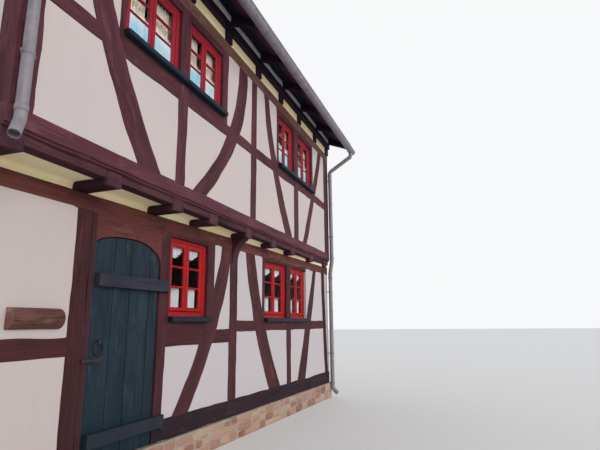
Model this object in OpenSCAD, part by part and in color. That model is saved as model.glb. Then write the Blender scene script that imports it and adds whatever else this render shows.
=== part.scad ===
// Half timbered town house with a jettied upper storey that tapers along the front.
// +X runs along the front to the right, +Y goes into the house, +Z is up.
// The origin is on the ground, under the middle of the upper storey's plan.

/* [House] */
// Length of the front between the outer faces of the party walls
house_len = 8360; // [7600:20:10000]
// Depth from the upper front face to the rear face
house_depth = 7000; // [6000:50:9000]
// Thickness of the plain party walls
party_t = 300; // [200:10:400]
// Thickness of the timber framed walls
frame_t = 180; // [140:5:240]
// How far the upper storey stands out at the left end
jetty_left = 500; // [300:10:700]
// How far the upper storey stands out at the right end
jetty_right = 60; // [50:5:150]
// How far the plaster panels lie behind the timber face
infill_set = 6; // [2:1:20]
// Gap between pieces that rest on each other at a slant
seat_gap = 0.3; // [0.2:0.1:0.5]

/* [Storey heights] */
// Height of the stone plinth
plinth_h = 320; // [250:10:450]
// How far the plinth stands out at the front
plinth_out = 40; // [10:5:60]
// Thickness of the plinth wall
plinth_t = 420; // [350:10:600]
// Thickness of the ground floor paving and its bed
ground_floor_h = 300; // [200:10:310]
// Height of the ground storey frame, plinth to plate
ground_frame_h = 2425; // [2350:5:2700]
// Height of the ground storey's wall plate
plate_h = 170; // [140:5:200]
// Height of the floor joists
joist_h = 145; // [120:5:180]
// Height of the upper storey's sill beam
bressummer_h = 185; // [150:5:220]
// Thickness of the floor boards
board_t = 35; // [25:5:45]
// Height of the upper storey frame, sill beam to plate
upper_frame_h = 2295; // [2200:5:2500]
// Height of the upper wall plate
wall_plate_h = 175; // [140:5:200]
// Height of the attic beams
beam_h = 165; // [140:5:200]

/* [Timbers] */
// Height of the ground storey's sill beam
sill_h = 240; // [200:5:260]
// Width of the corner posts at the left end
corner_w = 225; // [180:5:260]
// Width of the leaning post at the right end of the ground storey, at its head
end_post_w = 180; // [150:5:240]
// Width of the same post at its foot, a part of which lies behind the corner
end_foot_w = 350; // [300:5:400]
// Width of the post at the right end of the upper storey
upper_end_post_w = 335; // [250:5:400]
// Width of the narrow studs beside the windows
stud_w = 90; // [70:5:110]
// Height of the rails
rail_h = 175; // [140:5:200]
// Height of the ground storey's right rail above the plinth
ground_rail_z = 1190; // [1100:5:1250]
// Height of the ground storey's left rail above the plinth
left_rail_z = 1025; // [950:5:1150]
// Height of the short rail under the first window above the plinth
short_rail_z = 1045; // [950:5:1100]
// Height of the upper rail above the sill beam
upper_rail_z = 1015; // [950:5:1100]
// Left edge of the post in the middle of the ground storey
mid_post_x = 4010; // [3960:5:4060]
// Width of the post in the middle of the ground storey
mid_post_w = 215; // [180:5:240]
// Left edge of the post in the middle of the upper storey
upper_post_x = 4065; // [4000:5:4200]
// Width of the post in the middle of the upper storey
upper_post_w = 190; // [150:5:220]

/* [Door] */
// Left edge of the doorway
door_x = 1420; // [1400:5:1500]
// Width of the doorway
door_w = 1000; // [900:10:1030]
// Width of the post left of the doorway
door_post_w = 180; // [150:5:200]
// Width of the post right of the doorway
door_post_right_w = 145; // [120:5:160]
// Width of the strip between the left post and the doorway
jamb_w = 60; // [40:5:80]
// Height of the head board over the doorway's crown
door_head_h = 185; // [140:5:260]
// How far the crown stands right of the doorway's left edge
crown_in = 530; // [400:10:600]
// Fall of the head board's curve at its left end
fall_left = 120; // [80:5:160]
// Fall of the head board's curve at its right end
fall_right = 250; // [180:5:300]
// Thickness of the head board
head_board_t = 60; // [58:1:80]
// How far the stop behind the leaf narrows the doorway
stop_w = 30; // [20:5:40]
// Thickness of the door leaf
leaf_t = 40; // [30:1:45]
// How far the leaf lies behind the timber face
leaf_set = 15; // [12:1:18]
// Gap between the leaf and the doorway
leaf_gap = 12; // [8:1:16]
// Width of the grooves between the planks
groove_w = 8; // [4:1:10]
// Height of the hinge battens
batten_h = 130; // [100:5:160]
// Distance of the battens' left ends from the leaf's edge
batten_in = 18; // [10:1:70]
// How far the battens stand out from the timber face
batten_out = 55; // [50:1:65]
// Height of the lower batten above the plinth
low_batten_z = 170; // [120:5:260]
// Height of the upper batten above the plinth
high_batten_z = 1690; // [1600:5:1750]
// Distance of the hinge pins right of the doorway
pin_right = 110; // [95:1:120]
// Radius of the hinge pins
pin_r = 8; // [6:0.5:10]
// Running gap of the battens on the pins
pin_gap = 0.3; // [0.2:0.1:0.5]
// Gap between the batten ends and the timber face
batten_gap = 6; // [5:0.5:8]
// Height of the ring handle above the plinth
ring_h = 1080; // [1000:10:1150]
// Radius of the ring handle
ring_r = 62; // [45:1:75]
// Thickness of the ring handle
ring_t = 12; // [9:1:14]

/* [Windows] */
// Distance of the first ground storey window from the post right of the doorway
g1_in = 35; // [10:5:60]
// Width of the first ground storey window
g1_w = 810; // [750:5:840]
// Left edge of the second ground storey window
g2_x = 5140; // [5100:5:5200]
// Width of the second ground storey window
g2_w = 910; // [850:5:930]
// Left edge of the third ground storey window
g3_x = 6235; // [6180:5:6260]
// Width of the third ground storey window
g3_w = 775; // [700:5:800]
// Height of the ground storey windows' lower edge above the rail
ground_win_rise = 40; // [35:5:80]
// Height of the timber over the ground storey windows
ground_head_h = 30; // [25:5:60]
// Left edge of the first upper window
u1_x = 1140; // [1120:5:1180]
// Width of the first upper window
u1_w = 960; // [900:5:980]
// Left edge of the second upper window
u2_x = 2285; // [2260:5:2320]
// Width of the second upper window
u2_w = 845; // [800:5:880]
// Left edge of the third upper window
u3_x = 5210; // [5180:5:5250]
// Width of the third upper window
u3_w = 790; // [750:5:820]
// Left edge of the fourth upper window
u4_x = 6240; // [6200:5:6280]
// Width of the fourth upper window
u4_w = 860; // [800:5:880]
// Height of the left upper windows above the rail
upper_win_rise = 125; // [90:5:150]
// Height of the right upper windows above the rail
upper_low_rise = 50; // [40:5:80]
// Height of the timber over the upper windows
upper_head_h = 75; // [50:5:100]
// Width of a rear window
rear_win_w = 850; // [750:10:950]
// Width of the window casings
casing_w = 58; // [40:1:70]
// Depth of the window casings
casing_d = 80; // [60:5:100]
// How far the casings lie behind the timber face
casing_set = 45; // [0:1:60]
// How far the sashes lie behind the casings' face
sash_set = 12; // [5:1:25]
// Width of the sash bars round the panes
sash_w = 55; // [35:1:65]
// Depth of the sashes
sash_d = 40; // [30:1:45]
// Thickness of the glass
glass_t = 6; // [4:1:8]
// Height of the sill boards
board_h = 65; // [50:5:80]
// How far the sill boards stand out
board_out = 80; // [50:5:110]
// How far the sill boards run past the windows
board_past = 30; // [0:5:40]

/* [Jetty] */
// Width of the floor joists
joist_w = 200; // [160:5:220]
// How far the joist heads lie behind the upper face
head_set = 40; // [30:5:45]
// Height of the moulded fillers between the joist heads
filler_h = 85; // [80:5:120]
// Depth of the moulded fillers
filler_d = 130; // [80:5:140]
// Radius of the fillers' rounded edge
filler_r = 45; // [30:5:50]
// Thickness of the plaster soffit between the joists
soffit_t = 75; // [30:5:80]
// Radius of the plaster cove over the lower wall
cove_r = 40; // [20:5:60]
// Width of the curved bracket
bracket_w = 160; // [120:5:200]
// Height of the curved bracket
bracket_h = 400; // [300:10:500]
// Height of the bressummer's rounded lower edge
moulding_h = 60; // [50:5:80]
// Radius of the bressummer's grooves
groove_r = 10; // [6:1:12]

/* [Roof] */
// Slope of the main roof
pitch = 47; // [42:1:52]
// Slope of the sprocketed eaves
eaves_pitch = 22; // [18:1:28]
// Distance of the change of slope behind the front face
break_in = 250; // [200:10:350]
// How far the rafters run out past the front face
eaves_out = 530; // [450:10:650]
// How far the tiles run past the rafters
tile_past = 60; // [40:5:80]
// How far the roof runs past the party walls
verge = 120; // [0:10:200]
// Height of the eaves purlin at the front face
purlin_h = 150; // [120:5:180]
// Height of the rafters, measured upright
rafter_h = 130; // [110:5:160]
// Width of the rafters
rafter_w = 110; // [90:5:140]
// Thickness of the tiles and battens, measured upright
tile_t = 90; // [70:5:120]
// Gap between the rafters of the two slopes at the ridge
ridge_gap = 4; // [2:1:10]
// Width of the attic beams
beam_w = 170; // [140:5:190]
// How far the attic beams stand out from the front face
beam_out = 30; // [20:5:50]
// How far the eaves purlin stands out
purlin_out = 70; // [50:5:100]
// Depth of the eaves purlin behind the front face
purlin_in = 110; // [80:5:140]
// Radius of the ridge tiles
ridge_r = 130; // [110:5:160]

/* [Rainwater goods] */
// Radius of the half round gutters
gutter_r = 75; // [60:5:90]
// Thickness of the gutter metal
gutter_t = 6; // [4:1:8]
// Radius of the downpipes
pipe_r = 45; // [35:1:50]
// Distance of the downpipe's centre from the wall
pipe_off = 75; // [70:5:150]
// Gap between a downpipe and the face of the front plinth
pipe_gap = 8; // [3:1:20]
// Height of a downpipe's slanting run under the gutter
swan_h = 340; // [250:10:450]
// Distance of the pipe clamps from the upper plate
clamp_high = 500; // [300:10:800]
// Distance of the pipe clamps from the upper sill beam and from the lower plate
clamp_mid = 400; // [300:10:700]
// Distance of the lowest pipe clamps from the ground storey's sill beam
clamp_low = 400; // [300:10:700]
// Distance of the left downpipe from the left end
left_pipe_x = 60; // [55:5:90]
// Distance of the right downpipe from the right end
right_pipe_x = 60; // [55:5:90]
// Height of the bend over the shoe of the long downpipes
shoe_z = 210; // [180:10:300]
// Height at which the left downpipe ends
left_pipe_end_z = 3110; // [2950:10:3300]

/* [Sign board] */
// Left end of the half log
log_x = 560; // [450:10:640]
// Length of the half log
log_len = 510; // [400:10:560]
// Radius of the half log
log_r = 92; // [70:2:110]
// Height of the half log above the plinth
log_z = 1365; // [1320:5:1450]

/* [Hidden] */

TIMBER = [0.33, 0.13, 0.13];
PLASTER = [0.87, 0.82, 0.80];
CREAM = [0.88, 0.82, 0.62];
STONE = [0.66, 0.50, 0.38];
RED = [0.72, 0.05, 0.06];
GREEN = [0.06, 0.16, 0.17];
DOOR_GREEN = [0.10, 0.18, 0.20];
IRON = [0.16, 0.15, 0.16];
ZINC = [0.52, 0.54, 0.57];
TILE = [0.55, 0.27, 0.20];
BOARD = [0.52, 0.40, 0.28];
GLASS = [0.55, 0.65, 0.72, 0.5];
LOG = [0.42, 0.33, 0.28];

round_fn = 48;
curve_steps = 10;
trim = 40;
reach = house_depth;

// Levels, from the ground up
plate_z = plinth_h + ground_frame_h;
joist_z = plate_z + plate_h;
floor_z = joist_z + joist_h;
upper_z = floor_z + bressummer_h;
wall_plate_z = upper_z + upper_frame_h;
beam_z = wall_plate_z + wall_plate_h;
purlin_z = beam_z + beam_h;
sill_top = plinth_h + sill_h;
ground_rail = plinth_h + ground_rail_z;
left_rail = plinth_h + left_rail_z;
short_rail = plinth_h + short_rail_z;
upper_rail = upper_z + upper_rail_z;

// The ground storey's front is turned by this angle to the upper front
skew = atan((jetty_left - jetty_right) / house_len);
front_len = house_len / cos(skew);
function face_y(x) = jetty_left - x * tan(skew);
function inner_y(x) = face_y(x) + frame_t / cos(skew);

// Underside of the rafters over a point at depth y, and the top of the rafters
purlin_top = purlin_z + purlin_h;
function under(y) = y <= break_in ? purlin_top + y * tan(eaves_pitch)
    : purlin_top + break_in * tan(eaves_pitch) + (y - break_in) * tan(pitch);
mid_y = house_depth / 2;

// Windows, each as left edge, width, lower edge and upper edge
g1_x = door_x + door_w + door_post_right_w + g1_in;
ground_win_top = plate_z - ground_head_h;
upper_win_top = wall_plate_z - upper_head_h;
ground_win_z = ground_rail + rail_h + ground_win_rise;
upper_win_z = upper_rail + rail_h + upper_win_rise;
upper_low_z = upper_rail + rail_h + upper_low_rise;
ground_front = [for (w = [[g1_x, g1_w], [g2_x, g2_w], [g3_x, g3_w]])
    [w[0], w[1], ground_win_z, ground_win_top]];
upper_front = [[u1_x, u1_w, upper_win_z, upper_win_top], [u2_x, u2_w, upper_win_z, upper_win_top],
    [u3_x, u3_w, upper_low_z, upper_win_top], [u4_x, u4_w, upper_low_z, upper_win_top]];
rear_ground_x = [1500, 3750, 6000];
rear_upper_x = [1100, 2900, 4700, 6500];
ground_rear = [for (x = rear_ground_x) [x, rear_win_w, ground_win_z, ground_win_top]];
upper_rear = [for (x = rear_upper_x) [x, rear_win_w, upper_low_z, upper_win_top]];

// Joists and attic beams, by their left edges, the end ones beside the party walls
joist_x = [0, 1080, 2130, 2940, mid_post_x - 20, 4970, 5900, 7020, house_len - 150 - joist_w];
beam_x = [0, 1100, 2150, 3150, 4200, 5200, 6200, house_len - 1110, house_len - beam_w];

// Braces, each as foot, middle and head position, foot width and head width
ground_braces = [[2905, 3560, 3905, 340, 280], [5550, 4960, 4630, 430, 290],
    [house_len - 1610, house_len - 1210, house_len - 830, 390, 180]];
upper_braces = [[1645, 945, 620, 385, 270], [2630, 3500, 3770, 300, 270],
    [5700, 5020, 4640, 340, 200], [house_len - 1750, house_len - 1145, house_len - 640, 250, 230]];
rear_braces = [[450, 850, 1150, 260, 220],
    [house_len - 450, house_len - 850, house_len - 1150, 260, 220]];
end_post = [front_len - 95, front_len - 262, front_len - 332, end_foot_w, end_post_w];

// The hinge axis, in the turned frame of the ground storey's front
pin_x = door_x + door_w + pin_right;
batten_end_r = (batten_out - batten_gap) / 2;
pin_y = -(batten_gap + batten_end_r);
leaf_l = door_x + leaf_gap;
leaf_r = door_x + door_w - leaf_gap;
leaf_z = plinth_h + leaf_gap;

// Seams between the leaf's unequal planks, as shares of its width
plank_seams = [0.28, 0.53, 0.84];

module in_house() { translate([-house_len / 2, -house_depth / 2, 0]) children(); }
module on_lower_front() { in_house() translate([0, jetty_left, 0]) rotate([0, 0, -skew]) children(); }

// An elevation drawn in X and Z stands up with its front at depth y
module upright(t, y = 0) { translate([0, y + t, 0]) rotate([90, 0, 0]) linear_extrude(t) children(); }

// A profile drawn in Y and Z runs along X from x0 to x1
module along(x0, x1) {
    translate([x0, 0, 0]) rotate([90, 0, 90]) linear_extrude(x1 - x0) children();
}

// Keeps what lies between the outer faces of the party walls
module between_ends() {
    intersection() {
        children();
        in_house() translate([seat_gap, -reach, 0]) cube([house_len - 2 * seat_gap, 3 * reach, 2 * reach]);
    }
}

module bar_2d(x0, x1, z0, z1) { translate([x0, z0]) square([x1 - x0, z1 - z0]); }

// A curved timber whose ends are cut level; its middle passes through the given point
function bowed(a, b, c, t) = pow(1 - t, 2) * a + 2 * t * (1 - t) * (2 * b - (a + c) / 2) + t * t * c;
module brace_2d(b, z0, z1) {
    steps = [for (i = [0:curve_steps]) i / curve_steps];
    function half(t) = (b[3] + (b[4] - b[3]) * t) / 2;
    polygon(concat(
        [for (t = steps) [bowed(b[0], b[1], b[2], t) - half(t), z0 + (z1 - z0) * t]],
        [for (i = [curve_steps:-1:0]) let (t = i / curve_steps)
            [bowed(b[0], b[1], b[2], t) + half(t), z0 + (z1 - z0) * t]]));
}

module openings_2d(windows) { for (w = windows) bar_2d(w[0], w[0] + w[1], w[2], w[3]); }

// Ground storey front, left of the doorway
module front_left_2d() {
    post_x = door_x - jamb_w - door_post_w;
    bar_2d(-trim, post_x, plinth_h, sill_top);
    bar_2d(-trim, corner_w, plinth_h, plate_z);
    bar_2d(-trim, post_x, left_rail, left_rail + rail_h);
    bar_2d(post_x, post_x + door_post_w, plinth_h, plate_z);
}

// Ground storey front, right of the doorway
module front_right_2d() {
    post_x = door_x + door_w;
    post_r = post_x + door_post_right_w;
    g1_r = g1_x + g1_w;
    difference() {
        union() {
            bar_2d(post_x, post_r, plinth_h, plate_z);
            bar_2d(post_x, front_len + trim, plinth_h, sill_top);
            bar_2d(post_r, mid_post_x, short_rail, short_rail + rail_h + 20);
            bar_2d(post_r, g1_r, short_rail, ground_win_z - board_h);
            bar_2d(g1_r, g1_r + 175, short_rail, plate_z);
            bar_2d(post_r, g1_r, ground_win_top, plate_z);
            bar_2d(mid_post_x, mid_post_x + mid_post_w, plinth_h, plate_z);
            bar_2d(mid_post_x, end_post[1], ground_rail, ground_rail + rail_h);
            bar_2d(g2_x - stud_w, g2_x, ground_rail, plate_z);
            bar_2d(g2_x, g3_x + g3_w, ground_win_top, plate_z);
            bar_2d(g2_x + g2_w, g3_x, plinth_h, plate_z);
            for (b = concat(ground_braces, [end_post])) brace_2d(b, sill_top, plate_z);
        }
        openings_2d(ground_front);
    }
}

// Upper storey front
module upper_front_2d() {
    u1_r = u1_x + u1_w;
    u2_r = u2_x + u2_w;
    rail_top = upper_rail + rail_h;
    difference() {
        union() {
            bar_2d(0, corner_w, upper_z, wall_plate_z);
            bar_2d(0, house_len, upper_rail, rail_top);
            bar_2d(u1_x - stud_w, u2_r + stud_w, upper_rail, upper_win_z - board_h);
            bar_2d(u1_x - stud_w, u1_x, upper_rail, wall_plate_z);
            bar_2d(u1_r, u2_x, upper_z, wall_plate_z);
            bar_2d(u2_r, u2_r + 150, upper_rail, wall_plate_z);
            bar_2d(u1_x, u2_r, upper_win_top, wall_plate_z);
            bar_2d(upper_post_x, upper_post_x + upper_post_w, upper_z, wall_plate_z);
            bar_2d(u3_x - stud_w, u3_x, upper_rail, wall_plate_z);
            bar_2d(u3_x + u3_w, u4_x, upper_z, wall_plate_z);
            bar_2d(u4_x + u4_w, u4_x + u4_w + stud_w, upper_rail, wall_plate_z);
            bar_2d(u3_x, u4_x + u4_w, upper_win_top, wall_plate_z);
            bar_2d(house_len - upper_end_post_w, house_len, upper_z, wall_plate_z);
            for (b = upper_braces) brace_2d(b, upper_z, wall_plate_z);
        }
        openings_2d(upper_front);
    }
}

// A plain rear storey: sill beam, posts beside the windows, rail, heads and end braces
module rear_2d(z0, sill, rail, top, windows, win_top) {
    difference() {
        union() {
            bar_2d(0, house_len, z0, z0 + sill);
            bar_2d(0, corner_w, z0, top);
            bar_2d(house_len - corner_w, house_len, z0, top);
            bar_2d(0, house_len, rail, rail + rail_h);
            for (w = windows) {
                bar_2d(w[0] - 160, w[0], z0, top);
                bar_2d(w[0] + w[1], w[0] + w[1] + 160, z0, top);
                bar_2d(w[0], w[0] + w[1], win_top, top);
            }
            for (b = rear_braces) brace_2d(b, z0 + sill, top);
        }
        openings_2d(windows);
    }
}

module rear_ground_2d() { rear_2d(plinth_h, sill_h, ground_rail, plate_z, ground_rear, ground_win_top); }
module rear_upper_2d() { rear_2d(floor_z, bressummer_h, upper_rail, wall_plate_z, upper_rear, upper_win_top); }

// The doorway's outline, smaller all round by the given gap
module doorway_2d(gap) {
    crown_x = door_x + crown_in;
    left = crown_in - gap;
    right = door_w - crown_in - gap;
    top = plate_z - door_head_h - gap;
    arc = [for (i = [0:curve_steps]) 90 * i / curve_steps];
    polygon(concat(
        [[crown_x - left, plinth_h + gap]],
        [for (a = arc) [crown_x - left * cos(a), top - fall_left * (1 - sin(a))]],
        [for (a = arc) [crown_x + right * sin(a), top - fall_right * (1 - cos(a))]],
        [[crown_x + right, plinth_h + gap]]));
}

// A ring of stone that carries the walls; its front follows the turned wall
module plinth() {
    color(STONE) in_house() linear_extrude(plinth_h) difference() {
        polygon([[0, face_y(0) - plinth_out], [house_len, face_y(house_len) - plinth_out],
            [house_len, house_depth], [0, house_depth]]);
        floor_plan_2d(0);
    }
}

module floor_plan_2d(gap) {
    x0 = plinth_t;
    x1 = house_len - plinth_t;
    polygon([[x0 + gap, face_y(x0) - plinth_out + plinth_t + gap],
        [x1 - gap, face_y(x1) - plinth_out + plinth_t + gap],
        [x1 - gap, house_depth - plinth_t - gap], [x0 + gap, house_depth - plinth_t - gap]]);
}

module ground_floor() { color(STONE) in_house() linear_extrude(ground_floor_h) floor_plan_2d(0); }

module lower_front_panel(set) { between_ends() on_lower_front() upright(frame_t - set, set) children(); }

module front_left_frame() { color(TIMBER) lower_front_panel(0) front_left_2d(); }
module front_left_infill() {
    color(PLASTER) lower_front_panel(infill_set) difference() {
        bar_2d(-trim, door_x - jamb_w, plinth_h, plate_z);
        front_left_2d();
    }
}
module front_right_frame() { color(TIMBER) lower_front_panel(0) front_right_2d(); }
module front_right_infill() {
    color(PLASTER) lower_front_panel(infill_set) difference() {
        bar_2d(door_x + door_w, front_len + trim, plinth_h, plate_z);
        front_right_2d();
        openings_2d(ground_front);
    }
}
module front_ground_plate() {
    color(TIMBER) lower_front_panel(0) bar_2d(-trim, front_len + trim, plate_z, joist_z);
}

// Left strip, arched head board, and the stop that the leaf closes against
module door_frame() {
    color(TIMBER) on_lower_front() union() {
        upright(head_board_t) difference() {
            bar_2d(door_x - jamb_w, door_x + door_w, plinth_h, plate_z);
            doorway_2d(0);
        }
        upright(frame_t - head_board_t, head_board_t) difference() {
            bar_2d(door_x - jamb_w, door_x + door_w, plinth_h, plate_z);
            doorway_2d(stop_w);
        }
    }
}

module front_door() {
    color(DOOR_GREEN) on_lower_front() difference() {
        upright(leaf_t, leaf_set) doorway_2d(leaf_gap);
        for (seam = plank_seams)
            translate([leaf_l + seam * (leaf_r - leaf_l) - groove_w / 2, leaf_set - 1, 0])
                cube([groove_w, groove_w / 2 + 1, plate_z]);
    }
}

// Two thick ledges across the planks; their round right ends turn on the hinge pins
module door_battens() {
    batten_l = leaf_l + batten_in;
    color(DOOR_GREEN) on_lower_front() for (z = [low_batten_z, high_batten_z])
        translate([0, 0, plinth_h + z]) difference() {
            union() {
                translate([batten_l, -batten_out, 0]) cube([leaf_r - batten_l, batten_out + leaf_set, batten_h]);
                translate([leaf_r - 1, -batten_out, 0]) cube([pin_x - leaf_r + 1, 2 * batten_end_r, batten_h]);
                translate([pin_x, pin_y, 0]) cylinder(r = batten_end_r, h = batten_h, $fn = round_fn);
            }
            translate([pin_x, pin_y, -1]) cylinder(r = pin_r + pin_gap, h = batten_h + 2, $fn = round_fn);
        }
}

// Ring handle on its boss, and the latch bar with its keeper plate
module door_ironwork() {
    ring_x = leaf_l + 120;
    ring_z = plinth_h + ring_h;
    latch_z = ring_z - 110;
    color(IRON) on_lower_front() union() {
        translate([ring_x, leaf_set - 22, ring_z]) rotate([90, 0, 0])
            rotate_extrude($fn = round_fn) translate([ring_r, 0]) circle(r = ring_t / 2, $fn = 16);
        translate([ring_x, leaf_set, ring_z + ring_r]) rotate([90, 0, 0])
            cylinder(r = 20, h = 34, $fn = round_fn);
        translate([leaf_l + 45, leaf_set - 5, latch_z - 35]) cube([150, 5, 70]);
        translate([leaf_l + 60, -20, latch_z - 18]) cube([100, leaf_set + 20, 36]);
        translate([leaf_l - 85, -20, latch_z - 14]) cube([190, 12, 28]);
    }
}

// Iron pins on brackets that stand out from the right post
module door_pintles() {
    color(IRON) on_lower_front() for (z = [low_batten_z, high_batten_z])
        translate([0, 0, plinth_h + z]) union() {
            translate([pin_x, pin_y, -15]) cylinder(r = pin_r, h = batten_h + 20, $fn = round_fn);
            translate([pin_x - 20, pin_y - 20, -15]) cube([40, -pin_y + 20, 15 - pin_gap]);
        }
}

module rear_panel(set) { in_house() translate([0, house_depth - frame_t, 0]) upright(frame_t - set) children(); }

module rear_ground_frame() {
    color(TIMBER) rear_panel(0) union() {
        rear_ground_2d();
        bar_2d(0, house_len, plate_z, joist_z);
    }
}
module rear_ground_infill() {
    color(PLASTER) rear_panel(infill_set) difference() {
        bar_2d(0, house_len, plinth_h, plate_z);
        rear_ground_2d();
        openings_2d(ground_rear);
    }
}

// A party wall: its lower part ends at the turned front, its gable fits under the rafters
module party_wall(x0) {
    x1 = x0 + party_t;
    back = house_depth - frame_t;
    in_house() union() {
        translate([0, 0, plinth_h]) linear_extrude(floor_z - plinth_h)
            polygon([[x0, inner_y(x0) + seat_gap], [x1, inner_y(x1) + seat_gap], [x1, back], [x0, back]]);
        along(x0, x1) polygon([[frame_t, floor_z], [back, floor_z], [back, under(frame_t)],
            [house_depth - break_in, under(break_in)], [mid_y, under(mid_y)],
            [break_in, under(break_in)], [frame_t, under(frame_t)]]);
    }
}
module left_party_wall() { color(PLASTER) party_wall(0); }
module right_party_wall() { color(PLASTER) party_wall(house_len - party_t); }

// Joists run through the house; those at its ends are short pieces on the front wall
module floor_joists() {
    last = len(joist_x) - 1;
    color(TIMBER) in_house() translate([0, 0, joist_z + seat_gap]) linear_extrude(joist_h - seat_gap) {
        for (x = [joist_x[0], joist_x[last]])
            polygon([[x, head_set], [x + joist_w, head_set], [x + joist_w, inner_y(x + joist_w)], [x, inner_y(x)]]);
        for (i = [1:last - 1])
            translate([joist_x[i], head_set]) square([joist_w, house_depth - head_set]);
    }
}

// Bays between the joists, the last one reaching the end
bays = [for (i = [0:len(joist_x) - 1])
    [joist_x[i] + joist_w, i < len(joist_x) - 1 ? joist_x[i + 1] : house_len]];

module behind_lower_face() {
    translate([0, jetty_left, 0]) rotate([0, 0, -skew])
        translate([-reach, infill_set, 0]) cube([house_len + 2 * reach, 2 * reach, 2 * reach]);
}

module joist_fillers() {
    color(TIMBER) in_house() for (bay = bays) difference() {
        translate([0, head_set, floor_z - filler_h]) along(bay[0], bay[1]) difference() {
            intersection() {
                union() {
                    translate([filler_r, 0]) square([filler_d, filler_h]);
                    translate([0, filler_r]) square([filler_d, filler_h]);
                    translate([filler_r, filler_r]) circle(r = filler_r, $fn = round_fn);
                }
                square([filler_d, filler_h]);
            }
            translate([0, filler_r + 20]) circle(r = groove_r, $fn = 24);
        }
        behind_lower_face();
    }
}

// Plaster over the lower plate, coved up to the soffit behind the fillers
module joist_infill() {
    color(CREAM) in_house() for (bay = bays) {
        difference() {
            intersection() {
                translate([0, jetty_left, 0]) rotate([0, 0, -skew]) along(-trim, front_len + trim) cove_2d();
                translate([bay[0], head_set, joist_z]) cube([bay[1] - bay[0], reach, joist_h]);
            }
            in_front_of_soffit();
        }
    }
    for (i = [1:len(joist_x) - 1]) let (x0 = i == 1 ? 0 : joist_x[i - 1] + joist_w,
        x1 = i == len(joist_x) - 1 ? house_len : joist_x[i])
        color(CREAM) in_house() translate([x0, house_depth - frame_t, joist_z])
            cube([x1 - x0, frame_t - infill_set, joist_h]);
}

// Upright strip, cove and soffit in one profile, measured from the lower wall's face
module cove_2d() {
    soffit_z = floor_z - soffit_t;
    translate([infill_set, joist_z]) square([frame_t - infill_set, joist_h]);
    translate([-reach / 3, soffit_z]) square([reach / 3 + infill_set, soffit_t]);
    difference() {
        translate([infill_set - cove_r, soffit_z - cove_r]) square([cove_r, cove_r]);
        translate([infill_set - cove_r, soffit_z - cove_r]) circle(r = cove_r, $fn = round_fn);
    }
}

// The fillers' place and all before it, but not what lies behind the lower wall's face
module in_front_of_soffit() {
    difference() {
        translate([-trim, -reach, 0]) cube([house_len + 2 * trim, reach + head_set + filler_d, 2 * reach]);
        behind_lower_face();
    }
}

// Curved bracket on the middle post, under a joist
module jetty_bracket() {
    out = face_y(mid_post_x) - head_set - 20;
    color(TIMBER) on_lower_front() translate([mid_post_x + (mid_post_w - bracket_w) / 2, 0, joist_z])
        rotate([90, 0, 90]) linear_extrude(bracket_w)
            polygon(concat([[0, 0], [0, -bracket_h]],
                [for (i = [0:curve_steps]) let (a = 90 * i / curve_steps)
                    [-out * (1 - cos(a)), -bracket_h + (bracket_h - 90) * sin(a)]],
                [[-out, 0]]));
}

// Moulded sill beam of the upper storey
module bressummer() {
    color(TIMBER) in_house() translate([0, 0, floor_z]) along(0, house_len) difference() {
        union() {
            translate([0, moulding_h]) square([frame_t, bressummer_h - moulding_h]);
            translate([head_set, 0]) square([frame_t - head_set, moulding_h + 1]);
            translate([head_set, moulding_h]) circle(r = head_set, $fn = round_fn);
        }
        for (z = [moulding_h + 22, moulding_h + 52])
            translate([0, z]) circle(r = groove_r, $fn = 24);
    }
}

module upper_floor() {
    color(BOARD) in_house() translate([party_t, frame_t, floor_z])
        cube([house_len - 2 * party_t, house_depth - 2 * frame_t, board_t]);
}

module upper_front_frame() { color(TIMBER) in_house() upright(frame_t) upper_front_2d(); }
module upper_front_infill() {
    color(PLASTER) in_house() upright(frame_t - infill_set, infill_set) difference() {
        bar_2d(0, house_len, upper_z, wall_plate_z);
        upper_front_2d();
        openings_2d(upper_front);
    }
}
module rear_upper_frame() { color(TIMBER) rear_panel(0) rear_upper_2d(); }
module rear_upper_infill() {
    color(PLASTER) rear_panel(infill_set) difference() {
        bar_2d(0, house_len, floor_z, wall_plate_z);
        rear_upper_2d();
        openings_2d(upper_rear);
    }
}

module wall_plates() {
    color(TIMBER) in_house() for (y = [0, house_depth - frame_t])
        translate([0, y, wall_plate_z]) cube([house_len, frame_t, wall_plate_h]);
}

// Attic beams; the end ones stop at the party walls
module attic_beams() {
    last = len(beam_x) - 1;
    color(TIMBER) in_house() translate([0, 0, beam_z]) {
        for (i = [1:last - 1]) translate([beam_x[i], -beam_out, 0])
            cube([beam_w, house_depth + 2 * beam_out, beam_h]);
        for (i = [0, last]) {
            translate([beam_x[i], -beam_out, 0]) cube([beam_w, frame_t + beam_out, beam_h]);
            translate([beam_x[i], house_depth - frame_t, 0]) cube([beam_w, frame_t + beam_out, beam_h]);
        }
    }
}

module attic_floor() {
    color(BOARD) in_house() translate([party_t, purlin_in, purlin_z])
        cube([house_len - 2 * party_t, house_depth - 2 * purlin_in, board_t]);
}

// The same profile at the front and, mirrored, at the rear
module front_and_rear() {
    children();
    translate([0, house_depth, 0]) mirror([0, 1, 0]) children();
}

module eaves_purlins() {
    color(TIMBER) in_house() front_and_rear() along(0, house_len)
        polygon([[-purlin_out, purlin_z], [purlin_in, purlin_z],
            [purlin_in, under(purlin_in)], [-purlin_out, under(-purlin_out)]]);
}

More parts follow.
